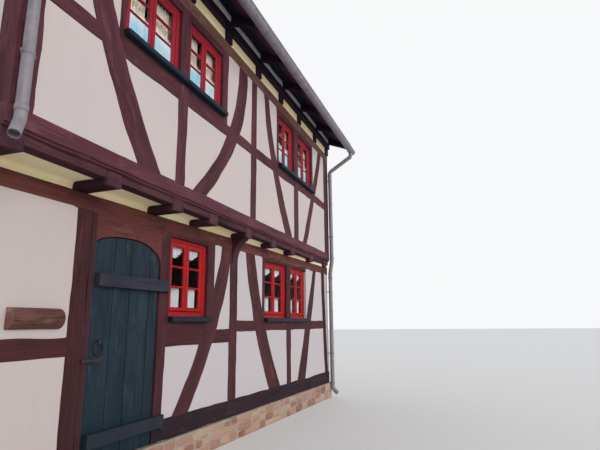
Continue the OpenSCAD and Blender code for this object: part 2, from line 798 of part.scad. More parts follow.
// Plaster between the attic beams and, above the purlin, between the rafters
module eaves_infill() {
    color(CREAM) in_house() front_and_rear() for (i = [0:len(beam_x) - 2]) {
        along(beam_x[i] + beam_w, beam_x[i + 1])
            polygon([[infill_set, beam_z], [frame_t - 60, beam_z], [frame_t - 60, purlin_z], [infill_set, purlin_z]]);
        along(rafter_x(i) + rafter_w, rafter_x(i + 1))
            polygon([[0, under(0)], [60, under(60)], [60, under(60) + rafter_h], [0, under(0) + rafter_h]]);
    }
}

function rafter_x(i) = i == len(beam_x) - 1 ? house_len - rafter_w
    : i == 0 ? 0 : beam_x[i] + (beam_w - rafter_w) / 2;

module rafters() {
    color(TIMBER) in_house() front_and_rear() for (i = [0:len(beam_x) - 1])
        along(rafter_x(i), rafter_x(i) + rafter_w) polygon(slope_points(eaves_out, 0, rafter_h, ridge_gap));
}

// Outline of a band that follows the roof, from low to high above the rafters' underside
function slope_points(out, low, high, gap = 0) = let (top = mid_y - gap / 2) [
    [-out, under(-out) + low], [break_in, under(break_in) + low], [top, under(top) + low],
    [top, under(top) + high], [break_in, under(break_in) + high], [-out, under(-out) + high]];

module roof_skin() {
    along(-verge, house_len + verge)
        polygon(slope_points(eaves_out + tile_past, rafter_h + seat_gap, rafter_h + tile_t));
}
module front_roof() { color(TILE) in_house() roof_skin(); }
module rear_roof() { color(TILE) in_house() translate([0, house_depth, 0]) mirror([0, 1, 0]) roof_skin(); }

// Round ridge tiles, bedded on both slopes
module ridge_tiles() {
    top = under(mid_y) + rafter_h + tile_t;
    color(TILE) in_house() along(-verge, house_len + verge) difference() {
        translate([mid_y, top - ridge_r * 0.35]) circle(r = ridge_r, $fn = round_fn);
        polygon([[mid_y - 2 * ridge_r, top - 2 * ridge_r * tan(pitch)], [mid_y, top],
            [mid_y + 2 * ridge_r, top - 2 * ridge_r * tan(pitch)], [mid_y, top - 6 * ridge_r]]);
    }
}

gutter_y = -(eaves_out + gutter_r + 10);
gutter_z = under(-eaves_out) - 45;
strap_t = 4;

module gutter() {
    along(-verge, house_len + verge) {
        difference() {
            circle(r = gutter_r, $fn = round_fn);
            circle(r = gutter_r - gutter_t, $fn = round_fn);
            translate([-2 * gutter_r, 0]) square([4 * gutter_r, 2 * gutter_r]);
        }
        translate([-gutter_r, 0]) circle(r = 9, $fn = 24);
    }
    for (x = [-verge, house_len + verge - gutter_t]) along(x, x + gutter_t) difference() {
        circle(r = gutter_r - 1, $fn = round_fn);
        translate([-2 * gutter_r, 0]) square([4 * gutter_r, 2 * gutter_r]);
    }
    for (i = [0:len(beam_x) - 1]) along(rafter_x(i) + 40, rafter_x(i) + 70) {
        translate([gutter_r - gutter_t, -10]) square([10 + gutter_t, 10 + 45 + rafter_h - 20]);
        difference() {
            circle(r = gutter_r + strap_t, $fn = round_fn);
            circle(r = gutter_r - 1, $fn = round_fn);
            translate([-2 * gutter_r, 0]) square([4 * gutter_r, 2 * gutter_r]);
        }
    }
}
module gutters() { color(ZINC) in_house() front_and_rear() translate([0, gutter_y, gutter_z]) gutter(); }

// A pipe through the given points, with round bends
module pipe(points) {
    for (i = [0:len(points) - 2]) {
        d = points[i + 1] - points[i];
        translate(points[i]) rotate([0, acos(d[2] / norm(d)), atan2(d[1], d[0])])
            cylinder(r = pipe_r, h = norm(d), $fn = round_fn);
        if (i > 0) translate(points[i]) sphere(r = pipe_r + 3, $fn = round_fn);
    }
}

// A clamp round an upright pipe, with its stay to the wall
stay_w = 16;
module clamp(x, y, z, wall_y) {
    translate([x, y, z - 15]) cylinder(r = pipe_r + 5, h = 30, $fn = round_fn);
    translate([x - stay_w / 2, min(y, wall_y), z - stay_w / 2]) cube([stay_w, abs(wall_y - y), stay_w]);
}

// Where a downpipe starts, just under the straps that carry the gutter
pipe_top = gutter_z - gutter_r - strap_t - seat_gap;
swan_top = pipe_top - 2 * pipe_r;
swan_low = swan_top - swan_h;

module front_downpipes() {
    right_x = house_len - right_pipe_x;
    low_y = face_y(right_x) - plinth_out - pipe_r - pipe_gap;
    color(ZINC) in_house() {
        union() {
            pipe([[left_pipe_x, gutter_y, pipe_top], [left_pipe_x, gutter_y, swan_top],
                [left_pipe_x, -pipe_off, swan_low], [left_pipe_x, -pipe_off, left_pipe_end_z],
                [left_pipe_x - 70, -pipe_off - 50, left_pipe_end_z - 150]]);
            for (z = [wall_plate_z - clamp_high, upper_z + clamp_mid]) clamp(left_pipe_x, -pipe_off, z, 0);
        }
        union() {
            pipe([[right_x, gutter_y, pipe_top], [right_x, gutter_y, swan_top],
                [right_x, -pipe_off, swan_low], [right_x, -pipe_off, floor_z],
                [right_x, low_y, joist_z - joist_h], [right_x, low_y, shoe_z],
                [right_x, low_y - 110, shoe_z - 110]]);
            for (z = [wall_plate_z - clamp_high, upper_z + clamp_mid]) clamp(right_x, -pipe_off, z, 0);
            for (z = [plate_z - clamp_mid, sill_top + clamp_low])
                clamp(right_x, low_y, z, face_y(right_x + stay_w / 2) - seat_gap);
        }
    }
}

module rear_downpipe() {
    back = house_depth + pipe_off;
    color(ZINC) in_house() union() {
        pipe([[right_pipe_x, house_depth - gutter_y, pipe_top],
            [right_pipe_x, house_depth - gutter_y, swan_top], [right_pipe_x, back, swan_low],
            [right_pipe_x, back, shoe_z], [right_pipe_x, back + 110, shoe_z - 110]]);
        for (z = [wall_plate_z - clamp_high, upper_z + clamp_mid, plate_z - clamp_mid, sill_top + clamp_low])
            clamp(right_pipe_x, back, z, house_depth);
    }
}

// Panes of a window of two sashes, as left edge and width
function panes(w) = let (sash = (w - 2 * casing_w) / 2)
    [for (i = [0, 1]) [casing_w + i * sash + sash_w, sash - 2 * sash_w]];

module panes_2d(w, h) {
    for (p = panes(w)) translate([p[0], casing_w + sash_w]) square([p[1], h - 2 * casing_w - 2 * sash_w]);
}

module casement(w, h) {
    upright(casing_d, casing_set) difference() {
        square([w, h]);
        translate([casing_w, casing_w]) square([w - 2 * casing_w, h - 2 * casing_w]);
    }
    upright(sash_d, casing_set + sash_set) difference() {
        translate([casing_w - 1, casing_w - 1]) square([w - 2 * casing_w + 2, h - 2 * casing_w + 2]);
        panes_2d(w, h);
    }
}

module window_glass(w, h) { upright(glass_t, casing_set + sash_set + (sash_d - glass_t) / 2) panes_2d(w, h); }

module ground_windows() {
    color(RED) {
        on_lower_front() for (w = ground_front) translate([w[0], 0, w[2]]) casement(w[1], w[3] - w[2]);
        in_house() for (w = ground_rear) facing_rear(w) casement(w[1], w[3] - w[2]);
    }
}
module ground_glass() {
    color(GLASS) {
        on_lower_front() for (w = ground_front) translate([w[0], 0, w[2]]) window_glass(w[1], w[3] - w[2]);
        in_house() for (w = ground_rear) facing_rear(w) window_glass(w[1], w[3] - w[2]);
    }
}
module upper_windows() {
    color(RED) in_house() {
        for (w = upper_front) translate([w[0], 0, w[2]]) casement(w[1], w[3] - w[2]);
        for (w = upper_rear) facing_rear(w) casement(w[1], w[3] - w[2]);
    }
}
module upper_glass() {
    color(GLASS) in_house() {
        for (w = upper_front) translate([w[0], 0, w[2]]) window_glass(w[1], w[3] - w[2]);
        for (w = upper_rear) facing_rear(w) window_glass(w[1], w[3] - w[2]);
    }
}
module facing_rear(w) { translate([w[0] + w[1], house_depth, w[2]]) rotate([0, 0, 180]) children(); }

module sill_board(x0, x1, z) { translate([x0, -board_out, z - board_h]) cube([x1 - x0, board_out, board_h]); }

module window_sills() {
    gap = 10;
    color(GREEN) {
        on_lower_front() {
            sill_board(g1_x - board_past / 3, g1_x + g1_w + board_past, ground_win_z);
            sill_board(g2_x - board_past, g3_x + g3_w + board_past, ground_win_z);
        }
        in_house() {
            sill_board(u1_x - board_past, (u1_x + u1_w + u2_x - gap) / 2, upper_win_z);
            sill_board((u1_x + u1_w + u2_x + gap) / 2, u2_x + u2_w + board_past, upper_win_z);
            sill_board(u3_x - board_past, u4_x + u4_w + board_past, upper_low_z);
            for (w = concat(ground_rear, upper_rear))
                facing_rear(w) sill_board(-board_past, w[1] + board_past, 0);
        }
    }
}

module log_board() {
    color(LOG) on_lower_front() translate([log_x, infill_set, plinth_h + log_z]) rotate([90, 0, 90])
        linear_extrude(log_len) difference() {
            circle(r = log_r, $fn = round_fn);
            translate([0, -2 * log_r]) square([2 * log_r, 4 * log_r]);
        }
}

plinth();
ground_floor();
front_left_frame();
front_left_infill();
front_right_frame();
front_right_infill();
front_ground_plate();
door_frame();
front_door();
door_battens();
door_ironwork();
door_pintles();
rear_ground_frame();
rear_ground_infill();
left_party_wall();
right_party_wall();
floor_joists();
joist_fillers();
joist_infill();
jetty_bracket();
bressummer();
upper_floor();
upper_front_frame();
upper_front_infill();
rear_upper_frame();
rear_upper_infill();
wall_plates();
attic_beams();
attic_floor();
eaves_purlins();
eaves_infill();
rafters();
front_roof();
rear_roof();
ridge_tiles();
gutters();
front_downpipes();
rear_downpipe();
ground_windows();
ground_glass();
upper_windows();
upper_glass();
window_sills();
log_board();
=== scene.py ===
import math
import random

import bpy
import bmesh
import numpy as np
from mathutils import Matrix, Vector, noise


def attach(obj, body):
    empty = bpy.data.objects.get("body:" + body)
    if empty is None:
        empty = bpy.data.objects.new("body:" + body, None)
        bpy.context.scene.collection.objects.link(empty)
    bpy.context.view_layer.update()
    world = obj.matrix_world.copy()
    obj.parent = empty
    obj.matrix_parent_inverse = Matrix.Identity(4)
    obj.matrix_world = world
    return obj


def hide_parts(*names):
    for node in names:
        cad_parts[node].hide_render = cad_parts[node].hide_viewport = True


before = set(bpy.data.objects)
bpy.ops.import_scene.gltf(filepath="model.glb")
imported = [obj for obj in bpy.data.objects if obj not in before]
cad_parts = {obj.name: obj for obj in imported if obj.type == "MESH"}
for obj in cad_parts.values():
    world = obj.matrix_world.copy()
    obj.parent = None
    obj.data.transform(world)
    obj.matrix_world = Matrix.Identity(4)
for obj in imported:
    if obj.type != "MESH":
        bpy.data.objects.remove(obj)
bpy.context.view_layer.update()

# Sizes of the house in metres, the same as in the solids
LENGTH, DEPTH = 8.36, 7.0
JETTY_LEFT, JETTY_RIGHT = 0.5, 0.06
SKEW = math.atan((JETTY_LEFT - JETTY_RIGHT) / LENGTH)
TAPER = math.tan(SKEW)
FRONT_LEN = LENGTH / math.cos(SKEW)
WALL = 0.18
PLINTH, SILL_TOP = 0.32, 0.56
PLATE, JOIST, FLOOR, UPPER = 2.745, 2.915, 3.06, 3.245
TOP_PLATE, PURLIN = 5.54, 5.88
JOIST_WIDTH = 0.2
JOISTS = [0.0, 1.08, 2.13, 2.94, 3.99, 4.97, 5.9, 7.02, 8.01]
EAVES_OUT, BREAK_IN = 0.53, 0.25
SLOPE_LOW, SLOPE_HIGH = math.tan(math.radians(22)), math.tan(math.radians(47))
RAFTER, VERGE = 0.13, 0.118
MID = DEPTH / 2


def turned(x, y, angle=0.0):
    """A place in the plan, turned about the upright axis."""
    return Matrix.Translation((x, y, 0)) @ Matrix.Rotation(angle, 4, "Z")


HOUSE = turned(-LENGTH / 2, -DEPTH / 2)
LOWER = HOUSE @ turned(0, JETTY_LEFT, -SKEW)
REAR = turned(LENGTH / 2, DEPTH / 2, math.pi)


def under(y):
    """Height of the rafters' underside at depth y behind the upper front face."""
    base = PURLIN + 0.15
    if y <= BREAK_IN:
        return base + y * SLOPE_LOW
    return base + BREAK_IN * SLOPE_LOW + (y - BREAK_IN) * SLOPE_HIGH


def hum(x, y, z):
    """Smooth random value at a point."""
    return noise.noise(Vector((x, y, z)))


def wave(x, seed, size=0.45):
    """Smooth random value from -1 to 1 along a line."""
    return hum(x / size, seed * 7.31, seed * 1.7)


# ---------------------------------------------------------------- materials

MATERIALS = {}


class Shader:
    """Fills the node tree of a material or a world."""

    def __init__(self, block):
        block.use_nodes = True
        self.tree = block.node_tree
        self.tree.nodes.clear()

    def add(self, kind, inputs=(), **props):
        node = self.tree.nodes.new("ShaderNode" + kind)
        for key, value in props.items():
            setattr(node, key, value)
        for key, value in dict(inputs).items():
            self.put(node.inputs[key], value)
        return node

    def put(self, socket, value):
        if isinstance(value, bpy.types.NodeSocket):
            self.tree.links.new(value, socket)
        else:
            socket.default_value = (*value, 1) if socket.type == "RGBA" else value

    def tone(self):
        return self.add("Attribute", attribute_name="tone").outputs["Fac"]

    def place(self):
        return self.add("TexCoord").outputs["Object"]

    def split(self, vector):
        return self.add("SeparateXYZ", {0: vector}).outputs

    def grain(self, axis):
        """The mesh's own grain coordinates, or the object's with the named axis first."""
        if axis == "own":
            return self.add("Attribute", attribute_name="grain").outputs["Vector"]
        parts = self.split(self.place())
        order = {"x": "XYZ", "y": "YXZ", "z": "ZXY"}[axis]
        return self.add("CombineXYZ", {i: parts[c] for i, c in enumerate(order)}).outputs[0]

    def noise(self, scale, detail, rough=0.5, warp=0.0, shift=(0, 0, 0)):
        """Smooth random values. A scale in three parts differs from axis to axis."""
        vector = self.base
        if isinstance(scale, tuple):
            mapping = {"Vector": vector, "Scale": scale, "Location": shift}
            vector, scale = self.add("Mapping", mapping).outputs[0], 1
        inputs = {"Vector": vector, "Scale": scale, "Detail": detail,
                  "Roughness": rough, "Distortion": warp}
        return self.add("TexNoise", inputs).outputs["Fac"]

    def range(self, value, low=0.3, high=0.7, to_low=0.0, to_high=1.0):
        inputs = {0: value, 1: low, 2: high, 3: to_low, 4: to_high}
        return self.add("MapRange", inputs, clamp=True).outputs[0]

    def math(self, operation, a, b=0.0):
        return self.add("Math", {0: a, 1: b}, operation=operation).outputs[0]

    def mix(self, factor, a, b, blend="MIX"):
        props = {"data_type": "RGBA", "blend_type": blend, "clamp_factor": True}
        return self.add("Mix", {0: factor, 6: a, 7: b}, **props).outputs[2]

    def bump(self, height, strength, distance, normal=None):
        inputs = {"Height": height, "Strength": strength, "Distance": distance}
        if normal is not None:
            inputs["Normal"] = normal
        return self.add("Bump", inputs).outputs[0]

    def done(self, **sockets):
        """Ends a material; the keywords are the sockets of its shader."""
        shader = self.add("BsdfPrincipled")
        for key, value in sockets.items():
            self.put(shader.inputs[key.replace("_", " ")], value)
        self.add("OutputMaterial", {0: shader.outputs[0]})


def material(name, axis=None):
    """A new material, laid out by its grain coordinates or by the object's place."""
    MATERIALS[name] = bpy.data.materials.new(name)
    s = Shader(MATERIALS[name])
    s.base = s.grain(axis) if axis else s.place()
    return s


def times(colour, share):
    return [c * share for c in colour]


def timber_paint(name, dark, light, worn, axis="own", wear=0.5, cracks=1.0, rough=0.72,
                 shade=None):
    """Old painted oak: streaks along the grain, drying cracks and thin patches of worn
    paint. shade is (axis, from, to, colour, share): the paint turns to that colour along
    the axis. On the bracket and the door's jamb this is painted shade, on the soffit boards
    painted light, on the door and its battens a darkening towards the bottom."""
    s = material(name, axis)
    streaks = s.noise((2.2, 70, 70), 5, 0.62, 0.3)
    broad = s.noise((1.1, 5, 5), 3, 0.55, 0.4)
    patches = s.noise((2.4, 7, 7), 5, 0.6, 0.2, (3, 1, 5))
    lines = s.noise((1.3, 48, 48), 2, 0.5, 0.6, (1, 7, 2))
    crack = s.range(s.math("ABSOLUTE", s.math("SUBTRACT", lines, 0.5)), 0.0, 0.013, 1, 0)
    crack = s.math("MULTIPLY", crack, s.range(patches, 0.42, 0.58, 0, cracks))
    colour = s.mix(s.range(broad), dark, light)
    colour = s.mix(s.range(streaks, 0.35, 0.7, 0, 0.5), colour, times(dark, 0.5))
    colour = s.mix(s.range(patches, 0.58, 0.74, 0, wear), colour, worn)
    colour = s.mix(crack, colour, times(dark, 0.15))
    # The tone attribute scales the paint's brightness: at random from timber to timber in the
    # walls, and as painted light and painted shade on the joists, fillers and moulded beam.
    if axis == "own":
        tone = s.mix(s.tone(), (0.62, 0.62, 0.62), (1.38, 1.38, 1.38))
        colour = s.mix(1.0, colour, tone, "MULTIPLY")
    # shade: a ramp to another colour along one axis, which is painted shade or painted light on
    # some materials.
    if shade:
        part, low, high, ramp_colour, share = shade
        where = s.math("ABSOLUTE", s.split(s.place())[part])
        colour = s.mix(s.range(where, low, high, 0, share), colour, ramp_colour)
    height = s.math("SUBTRACT", s.math("MULTIPLY", streaks, 0.4), crack)
    s.done(Base_Color=colour, Specular_IOR_Level=0.13,
           Roughness=s.range(streaks, 0.3, 0.7, rough - 0.1, rough + 0.1),
           Normal=s.bump(height, 0.6, 0.004, s.bump(broad, 0.4, 0.014)))


def plaster(name, base, warm, stain, relief=0.22, room=None, low=None):
    """Smooth lime plaster with a brushed coat of paint and faint stains. room is the
    dark colour of a party wall's inner side, painted shade that keeps the room behind the
    windows dark; low those of the lower storey's two ends."""
    s = material(name)
    clouds = s.noise(0.9, 4, 0.55)
    brush = s.noise((34, 34, 9), 4, 0.6, 0.4)
    grit = s.noise(240, 3, 0.6)
    drips = s.noise((9, 9, 0.7), 4, 0.6, shift=(2, 4, 1))
    x, _, z = s.split(s.base)
    colour = s.mix(s.range(clouds, 0.35, 0.68), base, warm)
    if low:
        below = s.mix(s.range(x, -3.2, -0.8), *low)
        colour = s.mix(s.range(z, 2.75, 2.8, 0.85, 0), colour, below)
    colour = s.mix(s.range(drips, 0.58, 0.8, 0, 0.16), colour, stain)
    colour = s.mix(s.range(brush, 0.3, 0.75, 0, 0.07), colour, stain)
    # Painted shade: the party walls' inner sides turn to the dark room colour.
    if room:
        colour = s.mix(s.range(s.math("ABSOLUTE", x), 4.1, 4.12), room, colour)
    normal = s.bump(brush, relief, 0.002, s.bump(clouds, 0.3, 0.03))
    s.done(Base_Color=colour, Roughness=s.range(brush, 0.3, 0.7, 0.78, 0.92),
           Specular_IOR_Level=0.25, Normal=s.bump(grit, 0.12, 0.001, normal))


def gloss_paint(name, base, dark, shine, axis="z", chips=(0.2, 0.05, 0.04)):
    """Brush-painted joinery with a little dirt and some chips."""
    s = material(name, axis)
    brush = s.noise((6, 120, 120), 4, 0.6)
    cloud = s.noise(5, 4, 0.6)
    fine = s.noise(55, 4, 0.7)
    colour = s.mix(s.range(cloud), base, dark)
    colour = s.mix(s.range(brush, 0.4, 0.75, 0, 0.25), colour, times(dark, 0.6))
    colour = s.mix(s.range(fine, 0.66, 0.72, 0, 0.4), colour, chips)
    s.done(Base_Color=colour, Roughness=s.range(brush, 0.3, 0.7, 0.44, 0.62),
           Specular_IOR_Level=shine,
           Normal=s.bump(brush, 0.25, 0.001, s.bump(cloud, 0.2, 0.003)))


def iron(name):
    s = material(name)
    rust = s.noise(38, 5, 0.65)
    pits = s.noise(260, 3, 0.6)
    colour = s.mix(s.range(rust, 0.45, 0.72), (0.017, 0.0155, 0.026), (0.052, 0.032, 0.034))
    s.done(Base_Color=colour, Metallic=0.35, Roughness=s.range(rust, 0.3, 0.7, 0.45, 0.75),
           Normal=s.bump(pits, 0.4, 0.0008))


def zinc(name):
    s = material(name)
    bloom = s.noise(7, 5, 0.62)
    streak = s.noise((16, 16, 2.2), 4, 0.6)
    colour = s.mix(s.range(bloom, 0.32, 0.68), (0.175, 0.155, 0.18), (0.29, 0.265, 0.295))
    colour = s.mix(s.range(streak, 0.55, 0.75, 0, 0.4), colour, (0.16, 0.125, 0.115))
    s.done(Base_Color=colour, Metallic=0.3, Roughness=s.range(bloom, 0.3, 0.7, 0.5, 0.68),
           Normal=s.bump(bloom, 0.1, 0.002))


def clay(name):
    s = material(name)
    tone = s.tone()
    fine = s.noise(60, 5, 0.65)
    broad = s.noise(1.3, 4, 0.6)
    lichen = s.noise(26, 5, 0.72)
    colour = s.mix(tone, (0.165, 0.06, 0.042), (0.4, 0.15, 0.085))
    colour = s.mix(s.range(fine, 0.35, 0.72, 0, 0.5), colour, (0.2, 0.095, 0.07))
    colour = s.mix(s.range(broad, 0.42, 0.66, 0, 0.55), colour, (0.105, 0.062, 0.055))
    moss = s.math("MULTIPLY", s.range(lichen, 0.6, 0.7), s.range(broad, 0.4, 0.62, 0, 0.8))
    s.done(Base_Color=s.mix(moss, colour, (0.22, 0.2, 0.1)),
           Roughness=s.range(fine, 0.3, 0.7, 0.72, 0.92), Normal=s.bump(fine, 0.5, 0.002))


def sandstone(name):
    s = material(name)
    tone = s.tone()
    grit = s.noise(130, 4, 0.7)
    beds = s.noise((7, 7, 20), 5, 0.65, 0.8)
    colour = s.mix(s.range(tone, 0.0, 0.45), (0.235, 0.085, 0.062), (0.44, 0.245, 0.18))
    colour = s.mix(s.range(tone, 0.45, 0.9), colour, (0.48, 0.355, 0.245))
    colour = s.mix(s.range(beds, 0.35, 0.7, 0, 0.6), colour, (0.36, 0.27, 0.215))
    colour = s.mix(s.range(grit, 0.5, 0.8, 0, 0.4), colour, (0.16, 0.1, 0.08))
    s.done(Base_Color=colour, Roughness=0.9, Specular_IOR_Level=0.2,
           Normal=s.bump(grit, 0.6, 0.003, s.bump(beds, 0.8, 0.015)))


def mortar(name, share=1.0):
    s = material(name)
    grit = s.noise(150, 4, 0.7)
    cloud = s.noise(6, 4, 0.6)
    light, lighter, dark = (times(colour, share) for colour in (
        (0.3, 0.235, 0.19), (0.42, 0.345, 0.275), (0.22, 0.17, 0.14)))
    colour = s.mix(s.range(cloud), light, lighter)
    s.done(Base_Color=s.mix(s.range(grit, 0.5, 0.8, 0, 0.4), colour, dark), Roughness=0.93,
           Normal=s.bump(grit, 0.7, 0.004, s.bump(cloud, 0.4, 0.02)))


def glass(name):
    """Old panes in the shade of the jetty: the dark room shows through them."""
    s = material(name)
    ripple = s.noise(9, 2)
    s.done(Base_Color=(0.84, 0.86, 0.9), Roughness=0.03, IOR=1.05, Transmission_Weight=1.0,
           Normal=s.bump(ripple, 0.06, 0.004))


def painted_sky_glass(name):
    """Panes whose lowest row mirrors a painted reflection of a blue, clouded sky, set in
    the specular tint; the curtains show through the rows above it, whose reflection is tinted warm."""
    s = material(name)
    height = s.split(s.base)[2]
    ripple = s.noise(9, 2)
    cloud = s.noise((3.4, 3.4, 2.4), 3, 0.5, 0.8)
    # Painted reflection: a blue sky with clouds in the specular tint of the lowest row.
    painted_sky_reflection = s.mix(s.range(cloud, 0.42, 0.6), (0.3, 0.71, 1.0), (0.8, 0.93, 1.0))
    s.done(Base_Color=(0.94, 0.95, 0.95), Roughness=0.03, Transmission_Weight=1.0,
           IOR=s.range(height, 4.84, 4.96, 9.0, 1.15),
           Specular_Tint=s.mix(s.range(height, 4.84, 4.96), painted_sky_reflection, (1.0, 0.93, 0.84)),
           Normal=s.bump(ripple, 0.06, 0.004))


def fabric(name, base):
    s = material(name)
    weave = s.noise(900, 2)
    soft = s.noise(14, 3)
    s.done(Base_Color=s.mix(s.range(soft), base, times(base, 0.88)), Roughness=0.9,
           Sheen_Weight=0.3, Subsurface_Weight=0.0, Normal=s.bump(weave, 0.2, 0.0006))


def make_materials():
    low = (0.047, 0.016, 0.0195), (0.096, 0.029, 0.0345), (0.155, 0.058, 0.058)
    high = (0.068, 0.022, 0.031), (0.134, 0.042, 0.0555), (0.195, 0.088, 0.095)
    dark = (0.012, 0.0075, 0.017), (0.03, 0.015, 0.028), (0.06, 0.03, 0.045)
    timber_paint("timber", *low)
    timber_paint("upper_timber", *high)
    timber_paint("moulded_beam", (0.09, 0.028, 0.042), (0.16, 0.053, 0.073),
                 (0.23, 0.105, 0.12))
    # Painted shade: the bracket darkens towards its top, under the jetty.
    timber_paint("bracket", *low, shade=(2, 2.72, 2.9, (0.024, 0.012, 0.022), 0.9))
    timber_paint("sill_beam", (0.018, 0.01, 0.016), (0.042, 0.019, 0.028),
                 (0.08, 0.045, 0.05), wear=0.3)
    timber_paint("plate", (0.074, 0.023, 0.0205), (0.15, 0.046, 0.039),
                 (0.235, 0.108, 0.08), wear=0.7)
    timber_paint("plate_x", (0.125, 0.053, 0.046), (0.225, 0.112, 0.09),
                 (0.34, 0.215, 0.15), "x", wear=0.7)
    timber_paint("eaves_timber", *dark, "y", wear=0.3)
    timber_paint("eaves_timber_x", *dark, "x", wear=0.3)
    # Painted light: the soffit boards turn a lighter maroon towards the eaves edge, where light
    # from the sky falls.
    timber_paint("soffit_x", (0.008, 0.007, 0.024), (0.018, 0.013, 0.038),
                 (0.05, 0.025, 0.045), "x", wear=0.3,
                 shade=(1, 3.72, 3.96, (0.15, 0.042, 0.062), 0.9))
    timber_paint("joist", (0.036, 0.015, 0.022), (0.112, 0.04, 0.052),
                 (0.17, 0.08, 0.09), wear=0.3)
    # Painted shade: the left jamb of the door frame, beside its shadow gap, is painted darker.
    timber_paint("head_board", (0.105, 0.03, 0.03), (0.16, 0.05, 0.048),
                 (0.235, 0.115, 0.105), "x", wear=0.35,
                 shade=(0, 2.752, 2.772, (0.044, 0.017, 0.0225), 0.9))
    timber_paint("door_paint", (0.0085, 0.0195, 0.03), (0.028, 0.048, 0.065),
                 (0.05, 0.086, 0.105), wear=0.6, rough=0.6,
                 shade=(2, 1.35, 0.7, (0.007, 0.019, 0.027), 0.6))
    timber_paint("batten_paint", (0.026, 0.025, 0.04), (0.058, 0.052, 0.074),
                 (0.03, 0.075, 0.085), "x", rough=0.6,
                 shade=(2, 1.5, 0.9, (0.014, 0.023, 0.034), 0.7))
    # Floor boards: a wood colour, partly painted shade, kept dark so the room behind the windows
    # reads dark.
    timber_paint("floor_boards", (0.1, 0.06, 0.034), (0.19, 0.115, 0.068),
                 (0.26, 0.175, 0.11), "x", rough=0.6)
    timber_paint("log_wood", (0.12, 0.052, 0.046), (0.26, 0.128, 0.11),
                 (0.36, 0.25, 0.19), wear=0.8, cracks=1.6)
    plaster("plaster", (0.565, 0.5, 0.51), (0.6, 0.52, 0.485), (0.44, 0.37, 0.35),
            low=((0.528, 0.455, 0.442), (0.535, 0.5, 0.525)))
    # Cream plaster over the jetty: its own cream colour, brightened further as painted light for
    # the bounce light under the jetty.
    plaster("cream", (0.83, 0.71, 0.41), (0.9, 0.8, 0.54), (0.55, 0.42, 0.26))
    # Painted light: the plaster under the eaves is brightened as far as a colour goes, standing in
    # for bounce light.
    plaster("eaves_plaster", (1.0, 0.8, 0.46), (1.0, 0.86, 0.56), (0.8, 0.6, 0.38))
    plaster("patch", (0.62, 0.56, 0.6), (0.66, 0.6, 0.6), (0.4, 0.35, 0.36))
    # Painted shade on the inner side of the party walls, so the room behind the windows reads dark.
    plaster("masonry", (0.56, 0.5, 0.48), (0.62, 0.56, 0.52), (0.38, 0.33, 0.3), 0.44,
            (0.14, 0.115, 0.11))
    gloss_paint("red_paint", (0.455, 0.007, 0.0085), (0.31, 0.0065, 0.01), 0.2)
    gloss_paint("upper_red_paint", (0.375, 0.01, 0.025), (0.26, 0.009, 0.022), 0.22)
    gloss_paint("sill_paint", (0.005, 0.023, 0.034), (0.0035, 0.012, 0.021), 0.16, "x",
                (0.045, 0.08, 0.09))
    for make, name in ((iron, "iron"), (zinc, "zinc"), (clay, "tiles"), (mortar, "mortar"),
                       (sandstone, "sandstone"), (glass, "window_glass"),
                       (painted_sky_glass, "upper_window_glass")):
        make(name)
    mortar("ridge_mortar", 0.5)
    fabric("curtain", (0.92, 0.92, 0.91))
    fabric("cream_curtain", (0.95, 0.86, 0.72))


# ---------------------------------------------------------------- mesh building


def linked(name, data):
    """A new object in the scene."""
    item = bpy.data.objects.new(name, data)
    bpy.context.scene.collection.objects.link(item)
    return item


def meshed(name, points, faces, paint):
    mesh = bpy.data.meshes.new(name)
    mesh.from_pydata(points, [], faces)
    mesh.materials.append(MATERIALS[paint])
    return mesh


class Soup:
    """Many closed shells in one mesh, each point with its grain coordinates and tone."""

    def __init__(self):
        self.points, self.faces, self.grain, self.tones = [], [], [], []

    def add(self, matrix, points, faces, grain=None, tone=0.5):
        start = len(self.points)
        self.points.extend(tuple(matrix @ Vector(p)) for p in points)
        self.faces.extend(tuple(i + start for i in face) for face in faces)
        self.grain.extend(grain or [(0, 0, 0)] * len(points))
        self.tones.extend(tone if isinstance(tone, list) else [tone] * len(points))

    def piece(self, name, paint, slot, replaces=None, body="house", smooth=38):
        mesh = meshed(name, self.points, self.faces, paint)
        grain = mesh.attributes.new("grain", "FLOAT_VECTOR", "POINT")
        grain.data.foreach_set("vector", np.array(self.grain, np.float32).ravel())
        tone = mesh.attributes.new("tone", "FLOAT", "POINT")
        tone.data.foreach_set("value", np.array(self.tones, np.float32))
        work = bmesh.new()
        work.from_mesh(mesh)
        bmesh.ops.recalc_face_normals(work, faces=work.faces)
        work.to_mesh(mesh)
        work.free()
        mesh.polygons.foreach_set("use_smooth", [True] * len(mesh.polygons))
        mesh.set_sharp_from_angle(angle=math.radians(smooth))
        piece = linked(name, mesh)
        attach(piece, body)
        if replaces:
            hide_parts(replaces)


def ring_faces(count, rings):
    """Quads between rings of points, with the two ends closed."""
    faces = []
    for r in range(rings - 1):
        a, b = r * count, (r + 1) * count
        for i in range(count):
            j = (i + 1) % count
            faces.append((a + i, a + j, b + j, b + i))
    return faces + [tuple(range(count))[::-1], tuple(range((rings - 1) * count, rings * count))]


